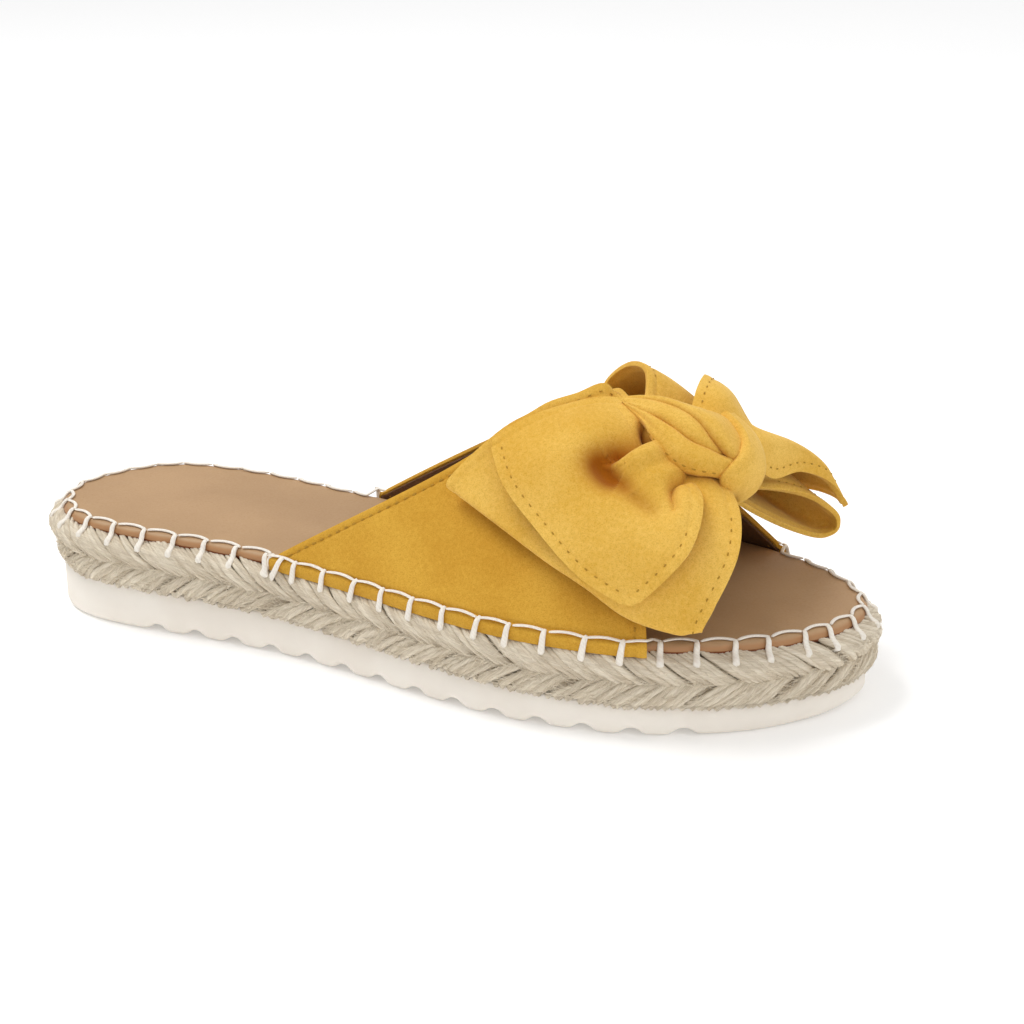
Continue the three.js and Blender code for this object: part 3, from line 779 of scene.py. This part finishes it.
def dashes(face, normals, line, stitch):
    """Paths of a row of stitches on a face along a line, and the way that is outward for each."""
    places, outs = on_net(face, *line), on_net(normals, *line)
    way = way_along(places)
    starts = np.arange(stitch.pitch / 2, way[-1] - stitch.length, stitch.pitch)
    t = even_steps(len(stitch.radii))
    spots = starts[:, None] + t * stitch.length
    path, out = (np.stack([np.interp(spots, way, axis) for axis in row.T], -1) for row in (places, outs))
    rise = stitch.lift * np.sin(t * math.pi) ** 0.7 - STITCH_SINK
    return path + out * rise[None, :, None], out


mustard_thread, shader, place = new_finish("mustard_thread", {"Specular IOR Level": 0.3, "Roughness": 0.6})
wear(shader, mixed(noise(place, 1800, 2), (0.30, 0.15, 0.008, 1), (0.56, 0.31, 0.03, 1)))


def sew(name, face, normals, lines, stitch):
    """Rows of mustard stitches on a face, in one piece."""
    rows = [dashes(face, normals, line, stitch) for line in lines]
    paths, outs = (np.concatenate(parts) for parts in zip(*rows))
    seams = threads(name, paths, outs, stitch.radii, STITCH_SIDES)
    dress(seams, mustard_thread)
    return seams


face = net + normals * relief[..., None]
edge_lines = [seam_line(face, 0, last, SEAM_INSET, SEAM_START, SEAM_END) for last in (False, True)]
band_seams = sew("band_seams", face, normals, edge_lines, BAND_STITCH)
smoothed(band_seams, 70)


# Blanket stitch. Off-white waxed thread sews the insole's turned edge and the band's feet to the jute all
# round: an upright over the edge at each hole, and an arc along the top from one upright to the next.
OVER_TAN = curve_through([
    # inset, height over the jute
    (5.0, 3.75), (4.2, 3.7), (3.4, 2.9), (3.0, 1.5), (2.2, 0.4),
    (1.0, -0.2), (0.35, -0.9), (0.5, -1.7), (1.7, -2.1),
])
OVER_BAND = curve_through([
    (1.9, 4.9), (1.2, 4.6), (0.6, 3.6), (0.45, 1.8), (0.4, 0.5),
    (0.3, -0.2), (0.15, -0.9), (0.5, -1.7), (1.7, -2.1),
])
OFF_EDGE = np.array([-1.0, 0.6])
UPRIGHT_RADIUS, ARC_RADIUS, THREAD_FLATNESS = 1.0, 0.56, 0.62
THREAD_STEPS, THREAD_SIDES = 13, 8
THREAD_END_INSET, THREAD_END_HEIGHT = 1.2, 3
UPRIGHT_TAPER = ((0, 0.12, 0.6, 0.9, 1), (0.55, 0.8, 1, 1.1, 0.8))
ARC_TAPER = ((0, 0.1, 0.9, 1), (0.7, 1, 1, 0.8))
FOOT_FADE = (0.4, 2.2)
STITCH_WANDER, STITCH_LEAN = 0.35, 0.9
# start and lean of the extra uprights at the rear end of each foot, and their way off the others
END_UPRIGHTS = ((-0.8, -0.4), (0.7, 4.2))
END_OFFSET = np.array([-0.35, 0.3])


def on_band(share):
    """How much of the band's foot is at this share of the edge, from 0 to 1."""
    share = np.asarray(share) % 1
    x = sole_outline(share)[..., 0]
    rear = np.where(share < 0.5, REAR_EDGE.outer, REAR_EDGE.inner)
    front = np.where(share < 0.5, FRONT_EDGE.outer, FRONT_EDGE.inner)
    near, far = FOOT_FADE
    return smooth_step(x - rear, -far, -near) * (1 - smooth_step(x - front, near, far))


def thread_place(share, section):
    """A place at a share of the edge, by the section's inset and height over the jute."""
    ends = THREAD_END_INSET * np.clip(section[..., 1] / THREAD_END_HEIGHT, 0, 1)
    flat = sole_edge(share, section[..., 0], ends)
    return np.concatenate([flat, jute_top(flat[..., :1]) + section[..., 1:]], -1)


upright_paths, upright_out, arc_paths, arc_out = [], [], [], []


def add_upright(shares, section):
    path = thread_place(shares, section)
    upright_paths.append(path)
    upright_out.append(thread_place(shares, section + OFF_EDGE) - path)


t = even_steps(THREAD_STEPS)
swell = np.sin(t * math.pi)
tan_arc = np.stack([4.6 + 1.5 * swell**0.8, 3.95 + 0.12 * swell], -1)
band_arc = np.stack([1.35 + 0.35 * swell, 4.7 + 0.5 * swell], -1)
lean = STITCH_LEAN / sole_outline.length
for stitch in range(STITCHES):
    start = (FIRST_STITCH + stitch * stitch_pitch) / sole_outline.length
    # four draws for each stitch, of which two are used
    aside, tilt = chance.normal(0, STITCH_WANDER, 4)[:2] / sole_outline.length
    over = OVER_BAND if on_band(start) > 0.5 else OVER_TAN
    add_upright(start + aside + (lean + tilt) * (1 - t) ** 1.5, over(t))
    shares = start + lean + (0.08 + 0.92 * t) / STITCHES
    arc = thread_place(shares, tan_arc + (band_arc - tan_arc) * on_band(shares)[:, None])
    arc_paths.append(arc)
    arc_out.append(np.full_like(arc, (0, 0, 1)))
outer_end = np.interp(REAR_EDGE.outer, outer_side[:, 0], side_share)
inner_end = 1 - np.interp(REAR_EDGE.inner, inner_side[:, 0], side_share)
for rear_end, way in ((outer_end, 1), (inner_end, -1)):
    for start, end_lean in END_UPRIGHTS:
        shares = rear_end + way * (start + end_lean * (1 - t)) / sole_outline.length
        add_upright(shares, OVER_BAND(t) + END_OFFSET)
upright_radii = UPRIGHT_RADIUS * np.interp(t, *UPRIGHT_TAPER)
arc_radii = ARC_RADIUS * np.interp(t, *ARC_TAPER)
blanket = threads(
    "blanket_stitch",
    np.array(upright_paths + arc_paths),
    np.array(upright_out + arc_out),
    [upright_radii] * len(upright_paths) + [arc_radii] * len(arc_paths),
    THREAD_SIDES,
    THREAD_FLATNESS,
)
smoothed(blanket, 70)

pale_thread, shader, place = new_finish("pale_thread", {"Specular IOR Level": 0.3})
around, length = place.node("ShaderNodeTexCoord", {}, {}, "UV").parts()[:2]
lay = around * 3.0 + length * (2 * STITCHES * 9.0)
ply = place.math("SINE", lay * (2 * math.pi)) * 0.5 + 0.5
hair = noise(place, 2200, 3)
wear(
    shader,
    colour=mixed(ply * 0.3 + hair * 0.8, (0.78, 0.70, 0.60, 1), (0.92, 0.88, 0.80, 1)),
    roughness=spread(hair, 0.3, 0.7, 0.55, 0.75),
    normal=raised(ply * 0.35 + hair * 0.6, 0.00015, 0.5),
)
dress(blanket, pale_thread)


# Bow ribbon. A broad ribbon of the same suede, its edges turned and sewn. On each side a folded loop lies on
# the band and the ribbon's end lies over the loop; both are gathered into the knot.
OUTER_LOOP = (
    # rear to front: places over the top, the fold, places back underneath
    (
        (
            (61, -1, 78), (57.5, -1, 82.5), (54, -2.5, 85), (52, -4, 87.5),
            (46, -8, 85), (39.5, -13.5, 83), (35.5, -18, 80.5), (30.5, -23, 77.5),
        ),
        (15.5, -29, 60.5),
        ((31, -19, 62), (52, -6, 64), (64, -3, 66)),
    ),
    (((66, -6, 72), (60, -13, 72), (48, -26, 66)), (34, -35, 54), ((48, -26, 58), (62, -8, 65))),
    (((74, -8, 69), (73.5, -18, 66.5), (66, -32, 57)), (54, -40, 46), ((64, -31, 50), (73, -11, 62))),
    (
        ((80.5, -12, 70), (86, -17.5, 69), (89.5, -21.5, 66.5), (92, -28, 60), (85, -37, 49)),
        (75, -42, 36),
        ((80, -34, 44), (83, -11, 60)),
    ),
    (
        ((88.5, -8, 69), (91.5, -13.5, 67), (95.5, -17, 64.5), (100, -23.5, 60.5), (102, -31, 53)),
        (94, -38, 31),
        ((97, -31, 41), (90, -9, 58)),
    ),
)
INNER_LOOP = (
    (((61, 6, 80), (56, 18, 86), (48, 27, 84.5)), (38, 33, 76), ((45, 25, 77), (56, 9, 78), (63, 2, 76))),
    (((66, 10, 75), (63, 22, 81), (57, 34, 76)), (50, 43, 62), ((54, 30, 66), (63, 9, 68), (67, 2, 68))),
    (((74, 11, 70), (75, 24, 73), (75, 37, 66)), (73, 47, 49), ((73, 33, 54), (73, 10, 62), (74, 2, 64))),
    (((84, 10, 63), (89, 25, 61), (93, 38, 53)), (95, 47, 39), ((90, 34, 44), (83, 9, 58), (82, 2, 61))),
    (((89, 8, 58), (96, 22, 54), (104, 36, 47.5)), (110, 45, 35), ((98, 32, 39), (88, 9, 54), (86, 2, 60))),
)
OUTER_TAIL = (
    # rear to front: from the knot to the ribbon's end
    ((65, -3.5, 83), (59, -4.5, 84), (52.5, -8, 84), (45, -13, 82.5), (37.5, -20.5, 80.5), (28, -28.5, 75.5)),
    ((72.5, -10, 78), (66.5, -13, 79), (57.5, -26, 78.5), (46, -35, 73.5), (37, -38.5, 66.5)),
    ((77, -12, 73.5), (73.5, -19, 74.5), (67, -31, 71.5), (57.5, -40, 64), (50, -43, 56)),
    ((80, -13, 70.5), (79.5, -20.5, 70), (78, -31, 67), (71, -42, 57), (63, -45.5, 46.5)),
    ((81, -12, 69), (84, -18.5, 68), (91, -29, 65), (91.5, -39, 56), (78, -46, 39.5)),
)
INNER_TAIL = (
    ((75, 3, 77), (73, 16, 83.5), (71.5, 25, 84), (68.5, 36, 76), (67, 44, 61.5)),
    ((81.5, 3, 75.5), (80.5, 16, 82), (79.5, 26, 79.5), (79.5, 38, 68.5), (79, 47, 52.5)),
    ((87, 3, 72.5), (88, 16, 74.5), (87.5, 27, 68.5), (90.5, 39, 59.5), (92.5, 47, 47)),
    ((91.5, 7, 71), (94.5, 15, 69.5), (99, 29, 65), (105.5, 40, 56), (107.5, 46.5, 45.5)),
    ((93.5, 5, 66.5), (96.5, 15, 60), (101, 28, 58.5), (107, 39, 52.5), (112, 45, 43.5)),
)
OUTER_TAIL_PLEAT = ((0.47, 0.42), (0.485, 0.36), (0.525, 0.25), (0.56, 0.16), (0.58, 0.06))
OUTER_TAIL_CREASES = (
    # width, depth, share of the depth at the ends, and the line by shares across and along
    (5.8, -5.8, 0.6, ((0.43, 0.38), (0.43, 0.455), (0.49, 0.465), (0.56, 0.43))),
    (1.5, -3.6, 0.35, ((0.28, 0.08), (0.36, 0.11), (0.44, 0.12), (0.52, 0.11))),
    (2.6, 1.9, 0.35, ((0.51, 0.38), (0.58, 0.27), (0.65, 0.17))),
    (3.4, 2.0, 0.35, ((0.63, 0.35), (0.72, 0.27), (0.83, 0.17), (0.95, 0.06))),
    (3.6, -2.1, 0.35, ((0.64, 0.444), (0.735, 0.456), (0.82, 0.481))),
    (1.6, -3.0, 0.5, ((1.00, 0.10), (0.93, 0.17), (0.85, 0.24), (0.835, 0.31), (0.87, 0.42))),
    (3.6, 1.3, 0.35, ((0.92, 0.26), (0.91, 0.40), (0.92, 0.52))),
    (8.0, 1.4, 0.35, ((0.15, 0.58), (0.19, 0.41), (0.17, 0.21))),
    (1.1, -0.7, 0.35, ((0.02, 0.21), (0.06, 0.14), (0.12, 0.07))),
)
# the seams: the net's axis, whether along its last line, inset, and the shares where they start and end
OUTER_LOOP_SEAMS = ((1, False, 2.2, 0.08, 0.36), (1, True, 2.6, 0.2, 0.97))
INNER_LOOP_SEAMS = ((1, False, 2.4, 0.12, 0.97), (1, True, 2.6, 0.15, 0.97))
OUTER_TAIL_SEAMS = ((0, True, 2.8, 0.05, 0.95), (1, True, 2.8, 0.5, 0.94))
INNER_TAIL_SEAMS = ((0, True, 2.8, 0.05, 0.95),) + INNER_LOOP_SEAMS
RIBBON_THICKNESS, RIBBON_HEM = 1.6, 0.5
RIBBON_STITCH = SimpleNamespace(pitch=3.4, length=1.1, lift=0.30, radii=(0.12, 0.22, 0.25, 0.22, 0.12))
PAINTED_SHADE_DEPTH, PAINTED_SHADE_MOST = 5.0, 0.92
TAIL_CORNER, TAIL_CORNER_REACH = 1.3, 2.2
LOOP_CORNER, LOOP_CORNER_WIDTH, LOOP_CORNER_REACH = 2.6, 3.0, 6.0

# The ribbon's suede is a lighter copy of the band's: painted light for the bow's lit top.
ribbon_suede_painted_light = suede_finish("ribbon_suede_painted_light", (0.86, 0.55, 0.125, 1), (0.69, 0.38, 0.050, 1))


def ribbon_run(row, fold):
    """One line of the ribbon from the knot to its end, round the fold where it is a loop."""
    if not fold:
        return row
    over, end, back = (np.array(places, float) for places in row)
    ply = unit(over[-1] - back[0]) * fold / 2
    out = unit(end - (over[-1] + back[0]) / 2) * fold / 2
    return np.vstack([over, end - out + ply, end, end - out - ply, back])


def ribbon_net(table, rows, columns, fold):
    runs = [curve_through(ribbon_run(row, fold))(even_steps(rows)) for row in table]
    lines = np.stack(runs, 1)
    return np.stack([curve_through(line)(even_steps(columns)) for line in lines])


def fold_line(net, line):
    """For a line of across and along shares: each point's way to it, its side, and the share along it."""
    rows, columns = net.shape[:2]
    steps = 24
    guide = curve_through(line)(even_steps(steps + 1))
    spine = on_net(net, guide[:, 1] * (rows - 1), guide[:, 0] * (columns - 1))
    ways = net[:, :, None] - spine[None, None]
    nearest = np.linalg.norm(ways, axis=-1).argmin(-1)
    way = np.take_along_axis(ways, nearest[..., None, None], 2)[:, :, 0]
    ahead = unit(np.gradient(spine, axis=0))[nearest]
    side = np.sum(np.cross(ahead, way) * net_normals(net), -1)
    return np.linalg.norm(way, axis=-1), side, nearest / steps


def crease(net, line, width, depth, ends):
    """A furrow along a line, or a ridge where depth is positive."""
    way, side, share = fold_line(net, line)
    return depth * (ends + (1 - ends) * np.sin(math.pi * share) ** 0.7) * np.exp(-((way / width) ** 2))


def lap(net, line, width, reach, height):
    """A pleat that stands over the cloth beside it: a sharp step that dies away on both sides."""
    way, side, share = fold_line(net, line)
    return height * np.clip(share / 0.3, 0, 1) * np.tanh(side / width) * np.exp(-((way / reach) ** 2))


def loop_waves(net, across, along):
    return 0.7 * np.sin(across * 9 + 0.5) * np.sin(np.clip(along * 2, 0, 1) * math.pi)


def outer_tail_folds(net, across, along):
    """The folds that the knot pulls in: a deep hollow under a pleat, and small gathers beside it."""
    shape = 0.8 * np.sin(across * 6.5 + 1.6 + along * 1.5) * along
    shape = shape + lap(net, OUTER_TAIL_PLEAT, width=0.6, reach=6.5, height=-2.9)
    for width, depth, ends, line in OUTER_TAIL_CREASES:
        shape = shape + crease(net, line, width, depth, ends)
    return shape


def inner_tail_waves(net, across, along):
    return np.sin(across * 10 + 0.6) * along


def rounded_end(net, rear, front, end):
    """A tail's net with the two corners of its end drawn in."""
    for side, way in ((rear, 1), (front, -1)):
        corner = ridge(side, TAIL_CORNER, 0, TAIL_CORNER_REACH) * ridge(end, 1, 0, TAIL_CORNER_REACH)
        inward = unit(way * unit(np.gradient(net, axis=1)) - unit(np.gradient(net, axis=0)))
        net = net + corner[..., None] * inward
    return net


def rounded_fold(net, table, front):
    """A loop's net with the front corner of its fold drawn in."""
    tip = curve_through([row[1] for row in table])(even_steps(net.shape[1]))
    over, end, back = (np.array(places, float) for places in table[-1])
    near = np.linalg.norm(net - tip, axis=-1)
    corner = ridge(front, LOOP_CORNER, 0, LOOP_CORNER_WIDTH) * ridge(near, 1, 0, LOOP_CORNER_REACH)
    return net + corner[..., None] * unit(over[-1] + back[0] - 2 * end)


RIBBON_PARTS = (
    # piece, solid, places, rows, columns, fold or 0 for a tail, -1 where the net's normals look down, folds,
    # seams, what it rests on, flat size, area of a cut that isn't a rectangle
    ("bow_outer_loop", "bow_loop_lateral", OUTER_LOOP, 170, 130, 4.4, 1, loop_waves, OUTER_LOOP_SEAMS,
     "band_suede", (0.087, 0.095), 0.0066),
    ("bow_inner_loop", "bow_loop_medial", INNER_LOOP, 170, 120, 6.0, -1, loop_waves, INNER_LOOP_SEAMS,
     "band_suede", (0.087, 0.095), 0.0066),
    ("bow_outer_tail", "bow_tail_lateral", OUTER_TAIL, 160, 200, 0, 1, outer_tail_folds, OUTER_TAIL_SEAMS,
     "bow_outer_loop", (0.067, 0.05), None),
    ("bow_inner_tail", "bow_tail_medial", INNER_TAIL, 150, 170, 0, -1, inner_tail_waves, INNER_TAIL_SEAMS,
     "bow_inner_loop", (0.05, 0.055), None),
)
for name, node, table, rows, columns, fold, turned, folds, sewn, under, flat, area in RIBBON_PARTS:
    net = ribbon_net(table, rows, columns, fold)
    across, along = np.meshgrid(even_steps(columns), even_steps(rows))
    shape = folds(net, across, along)
    # painted shade in the folds: darker where the cloth sinks, up to a limit
    painted_shade = np.clip(-shape / PAINTED_SHADE_DEPTH, 0, PAINTED_SHADE_MOST)
    rear, front, end = edge_distance(net, 1, False), edge_distance(net, 1, True), edge_distance(net, 0, True)
    shape = shape + RIBBON_HEM * hem(np.minimum(rear, front))
    if fold:
        net = rounded_fold(net, table, front)
    else:
        shape = shape + RIBBON_HEM * hem(end)
        net = rounded_end(net, rear, front, end)
    net = net + net_normals(net) * turned * shape[..., None]
    normals = net_normals(net) * turned
    piece = shaped_grid(name, net)
    fold_shade(piece, net, painted_shade)
    finish_sheet(piece, RIBBON_THICKNESS)
    dress(piece, ribbon_suede_painted_light)
    lines = [seam_line(net, *line) for line in sewn]
    seams = sew(name + "_seams", net + normals * (RIBBON_THICKNESS / 2), normals, lines, RIBBON_STITCH)
    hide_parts(node)


# Knot. The ribbon wrapped over itself on the band's crown: two turns and a broad stitched leaf run from the
# rear top to the front, a last turn closes down over them there, and one closes the rear. Rolled turns fill
# the middle.
KNOT_MIDDLE = np.array([76.0, -4.0, 70.0])
KNOT_LENGTHWISE = np.array([0.7, 0, 0])
LEAF = (
    # rear to front: a turn's upper edge, its middle and its lower edge
    ((59, -7.5, 84.5), (60.5, -8.5, 83.5), (62, -9, 82.5)),
    ((64, -8, 83.5), (65.5, -10.5, 82), (67, -12, 80.5)),
    ((71.5, -13, 83), (72, -16.5, 81), (71.5, -17, 78)),
    ((77.5, -16, 81.5), (78, -20, 78.5), (76.5, -20, 74.5)),
    ((83, -17.5, 79), (83, -21, 76.5), (81.5, -20.5, 71.5)),
    ((88, -16.5, 77), (87.5, -20.5, 74.5), (86, -20, 70.5)),
    ((91.5, -14.5, 75), (91, -18, 73.5), (89.5, -18, 70)),
    ((94, -11.5, 74), (93, -15.5, 72), (91, -16, 69)),
    ((95, -7.5, 71.5), (94, -11.5, 69), (92, -10.5, 65)),
)
MIDDLE_TURN = (
    ((56, -4, 84), (59.5, -6.5, 84), (61.5, -7.5, 83)),
    ((62.5, -3, 84.5), (66, -8, 84.5), (67, -10, 83)),
    ((70, -5, 85), (72.5, -11.5, 85), (73, -13, 82.5)),
    ((76.5, -6.5, 84.5), (79.5, -13.5, 84), (79.5, -15.5, 80)),
    ((82.5, -8, 82.5), (84.5, -14.5, 81.5), (84.5, -16, 77.5)),
    ((87, -9.5, 78.5), (88.5, -14, 78), (88.5, -14.5, 75.5)),
    ((90.5, -9, 75.5), (91, -11.5, 75.5), (91.5, -11.5, 73.5)),
)
TOP_TURN = (
    ((52.5, 2, 82), (55.5, -1, 83), (58, -2.5, 83.5)),
    ((57.5, 5, 80.5), (62.5, -2, 85), (64.5, -4.5, 85)),
    ((65, 7, 80.5), (70, -4.5, 86.5), (71, -7, 85.5)),
    ((72, 7, 80), (77, -6.5, 86), (77.5, -9.5, 85)),
    ((78, 7, 79.5), (82.5, -7.5, 85), (83, -11.5, 83.5)),
    ((83.5, 6, 79.5), (87.5, -8.5, 83), (88, -13.5, 80)),
    ((89, 4, 78), (91.5, -9.5, 79.5), (91.5, -14, 77)),
    ((93, -1, 76.5), (94, -9.5, 76.5), (94, -13, 74.5)),
    ((94, -3, 74), (95, -7.5, 74.5), (94.5, -8.5, 73)),
)
LAST_TURN = (
    ((84.5, 4, 81), (87, 4, 81.5), (87.5, 8, 79)),
    ((91, -2, 80), (93, -1.5, 79.5), (92.5, 7, 76)),
    ((94.5, -6.5, 77.5), (96, -5, 77.5), (96, 4, 74)),
    ((95, -10.5, 75.5), (98, -8, 75), (98.5, 1.5, 70.5)),
    ((94.5, -14.5, 73.5), (98, -11.5, 72.5), (99.5, -1, 67)),
    ((92.5, -17.5, 70.5), (97, -14, 69), (98, -2.5, 62.5)),
    ((92, -16.5, 66.5), (95.5, -14, 65.5), (96, -5, 60.5)),
    ((92, -8, 61), (93, -8, 60.5), (94, -7.5, 59.5)),
)
REAR_TURN = (
    # top to foot: the medial edge, the middle and the lateral edge
    ((61, 6, 80), (57.5, 1, 82.3), (61, -5, 81)),
    ((57.5, 8, 77), (54, 1, 79), (57.5, -7, 78)),
    ((56.5, 9, 72), (52.5, 1, 73.5), (56.5, -8, 72.5)),
    ((57.5, 9, 67), (54, 1, 68), (57.5, -8, 67)),
    ((61, 8, 62.5), (58, 1, 62.8), (61, -7, 62.5)),
)
FLAT_TURNS = (LEAF, MIDDLE_TURN, TOP_TURN, LAST_TURN, REAR_TURN)
ROLLED_TURNS = (
    # place on the roll's face, half width, half thickness
    (
        (56, 5, 79, 6, 7), (63, 4, 80, 8, 10.5), (72, 3, 79.5, 9, 12),
        (82, 3, 76.5, 9, 11), (90, 2, 70, 8, 8), (91, 0, 62, 5, 4),
    ),
    ((60, 9, 75, 6, 5), (71, 13, 75, 8, 6), (83, 13, 70, 8, 6), (90, 8, 64, 6, 5), (86, 4, 61, 4, 3)),
    ((66, -6, 74, 5, 5), (74, -10, 71, 7, 6), (83, -11, 68, 7, 6), (89, -7, 64, 6, 5), (86, -3, 62, 4, 3)),
)
KNOT_STEPS, KNOT_SIDES = 56, 48
TURN_BULGE, RIM_DEPTH, TURN_DEPTH = 0.7, 2.0, 4.5
LOWER_RIM_SHADE = ((0, 0.40, 0.44, 0.52, 0.7, 0.8, 1), (0, 0, 0.25, 0.6, 0.5, 0, 0))
LEAF_STITCH = SimpleNamespace(pitch=2.9, length=1.4, lift=0.30, radii=RIBBON_STITCH.radii)
LEAF_SEAM_STEPS, LEAF_SEAM_SIDE, LEAF_SEAM_POINTS = (9, 46), 0.345 * KNOT_SIDES, 60


def toward_middle(places):
    """The way from each place to the knot's middle, which follows the place some way along x."""
    return unit(KNOT_MIDDLE + (places - KNOT_MIDDLE) * KNOT_LENGTHWISE - places)


def flat_turn(rows):
    """A flat turn of the ribbon: its face through three lines, and its back inside the knot."""
    share = even_steps(KNOT_STEPS)
    upper, middle, lower = (curve_through([row[k] for row in rows])(share) for k in range(3))
    inward = toward_middle(middle)
    bulge = inward * TURN_BULGE
    face = [upper, (upper + middle) / 2 - bulge, middle, (middle + lower) / 2 - bulge, lower]
    back = [lower + inward * RIM_DEPTH, middle + inward * TURN_DEPTH, upper + inward * RIM_DEPTH]
    around = np.stack(face + back, 1)
    return np.stack([curve_through(ring, closed=True)(even_steps(KNOT_SIDES + 1)) for ring in around])


def rolled_turn(rows):
    """A rolled turn of the ribbon: an oval section along its line."""
    share = even_steps(KNOT_STEPS)
    path = curve_through(rows)(share)
    places, half, thick = path[:, None, :3], path[:, None, 3:4], path[:, None, 4:5]
    ahead = unit(np.gradient(path[:, :3], axis=0))[:, None]
    out = -toward_middle(places)
    out = unit(out - ahead * np.sum(out * ahead, -1, keepdims=True))
    turn = np.linspace(0, 2 * math.pi, KNOT_SIDES + 1)[None, :, None]
    ends = np.sin(np.clip(share, 0.02, 0.98) * math.pi)[:, None, None] ** 0.3
    ring = half * np.cos(turn) * np.cross(ahead, out) + thick * (np.sin(turn) - 1) * out
    return places + ring * ends


knot_nets = [flat_turn(rows) for rows in FLAT_TURNS] + [rolled_turn(rows) for rows in ROLLED_TURNS]
knot_net = np.concatenate(knot_nets)
knot = close_up(shaped_grid("bow_turns", knot_net, len(knot_nets)))
# painted shade along each flat turn's lower rim and on its back inside the knot
rim_shade = np.zeros(knot_net.shape[:2])
rim_shade[:KNOT_STEPS * len(FLAT_TURNS)] = np.interp(even_steps(KNOT_SIDES + 1), *LOWER_RIM_SHADE)
fold_shade(knot, knot_net, rim_shade)
smoothed(knot, 70)
dress(knot, ribbon_suede_painted_light)
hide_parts("bow_knot")

leaf = knot_nets[0]
leaf_out = net_normals(leaf)
leaf_out = leaf_out * np.sign(np.sum(leaf_out * -toward_middle(leaf), -1, keepdims=True))
leaf_line = (np.linspace(*LEAF_SEAM_STEPS, LEAF_SEAM_POINTS), np.full(LEAF_SEAM_POINTS, LEAF_SEAM_SIDE))
sew("bow_turns_seams", leaf, leaf_out, [leaf_line], LEAF_STITCH)
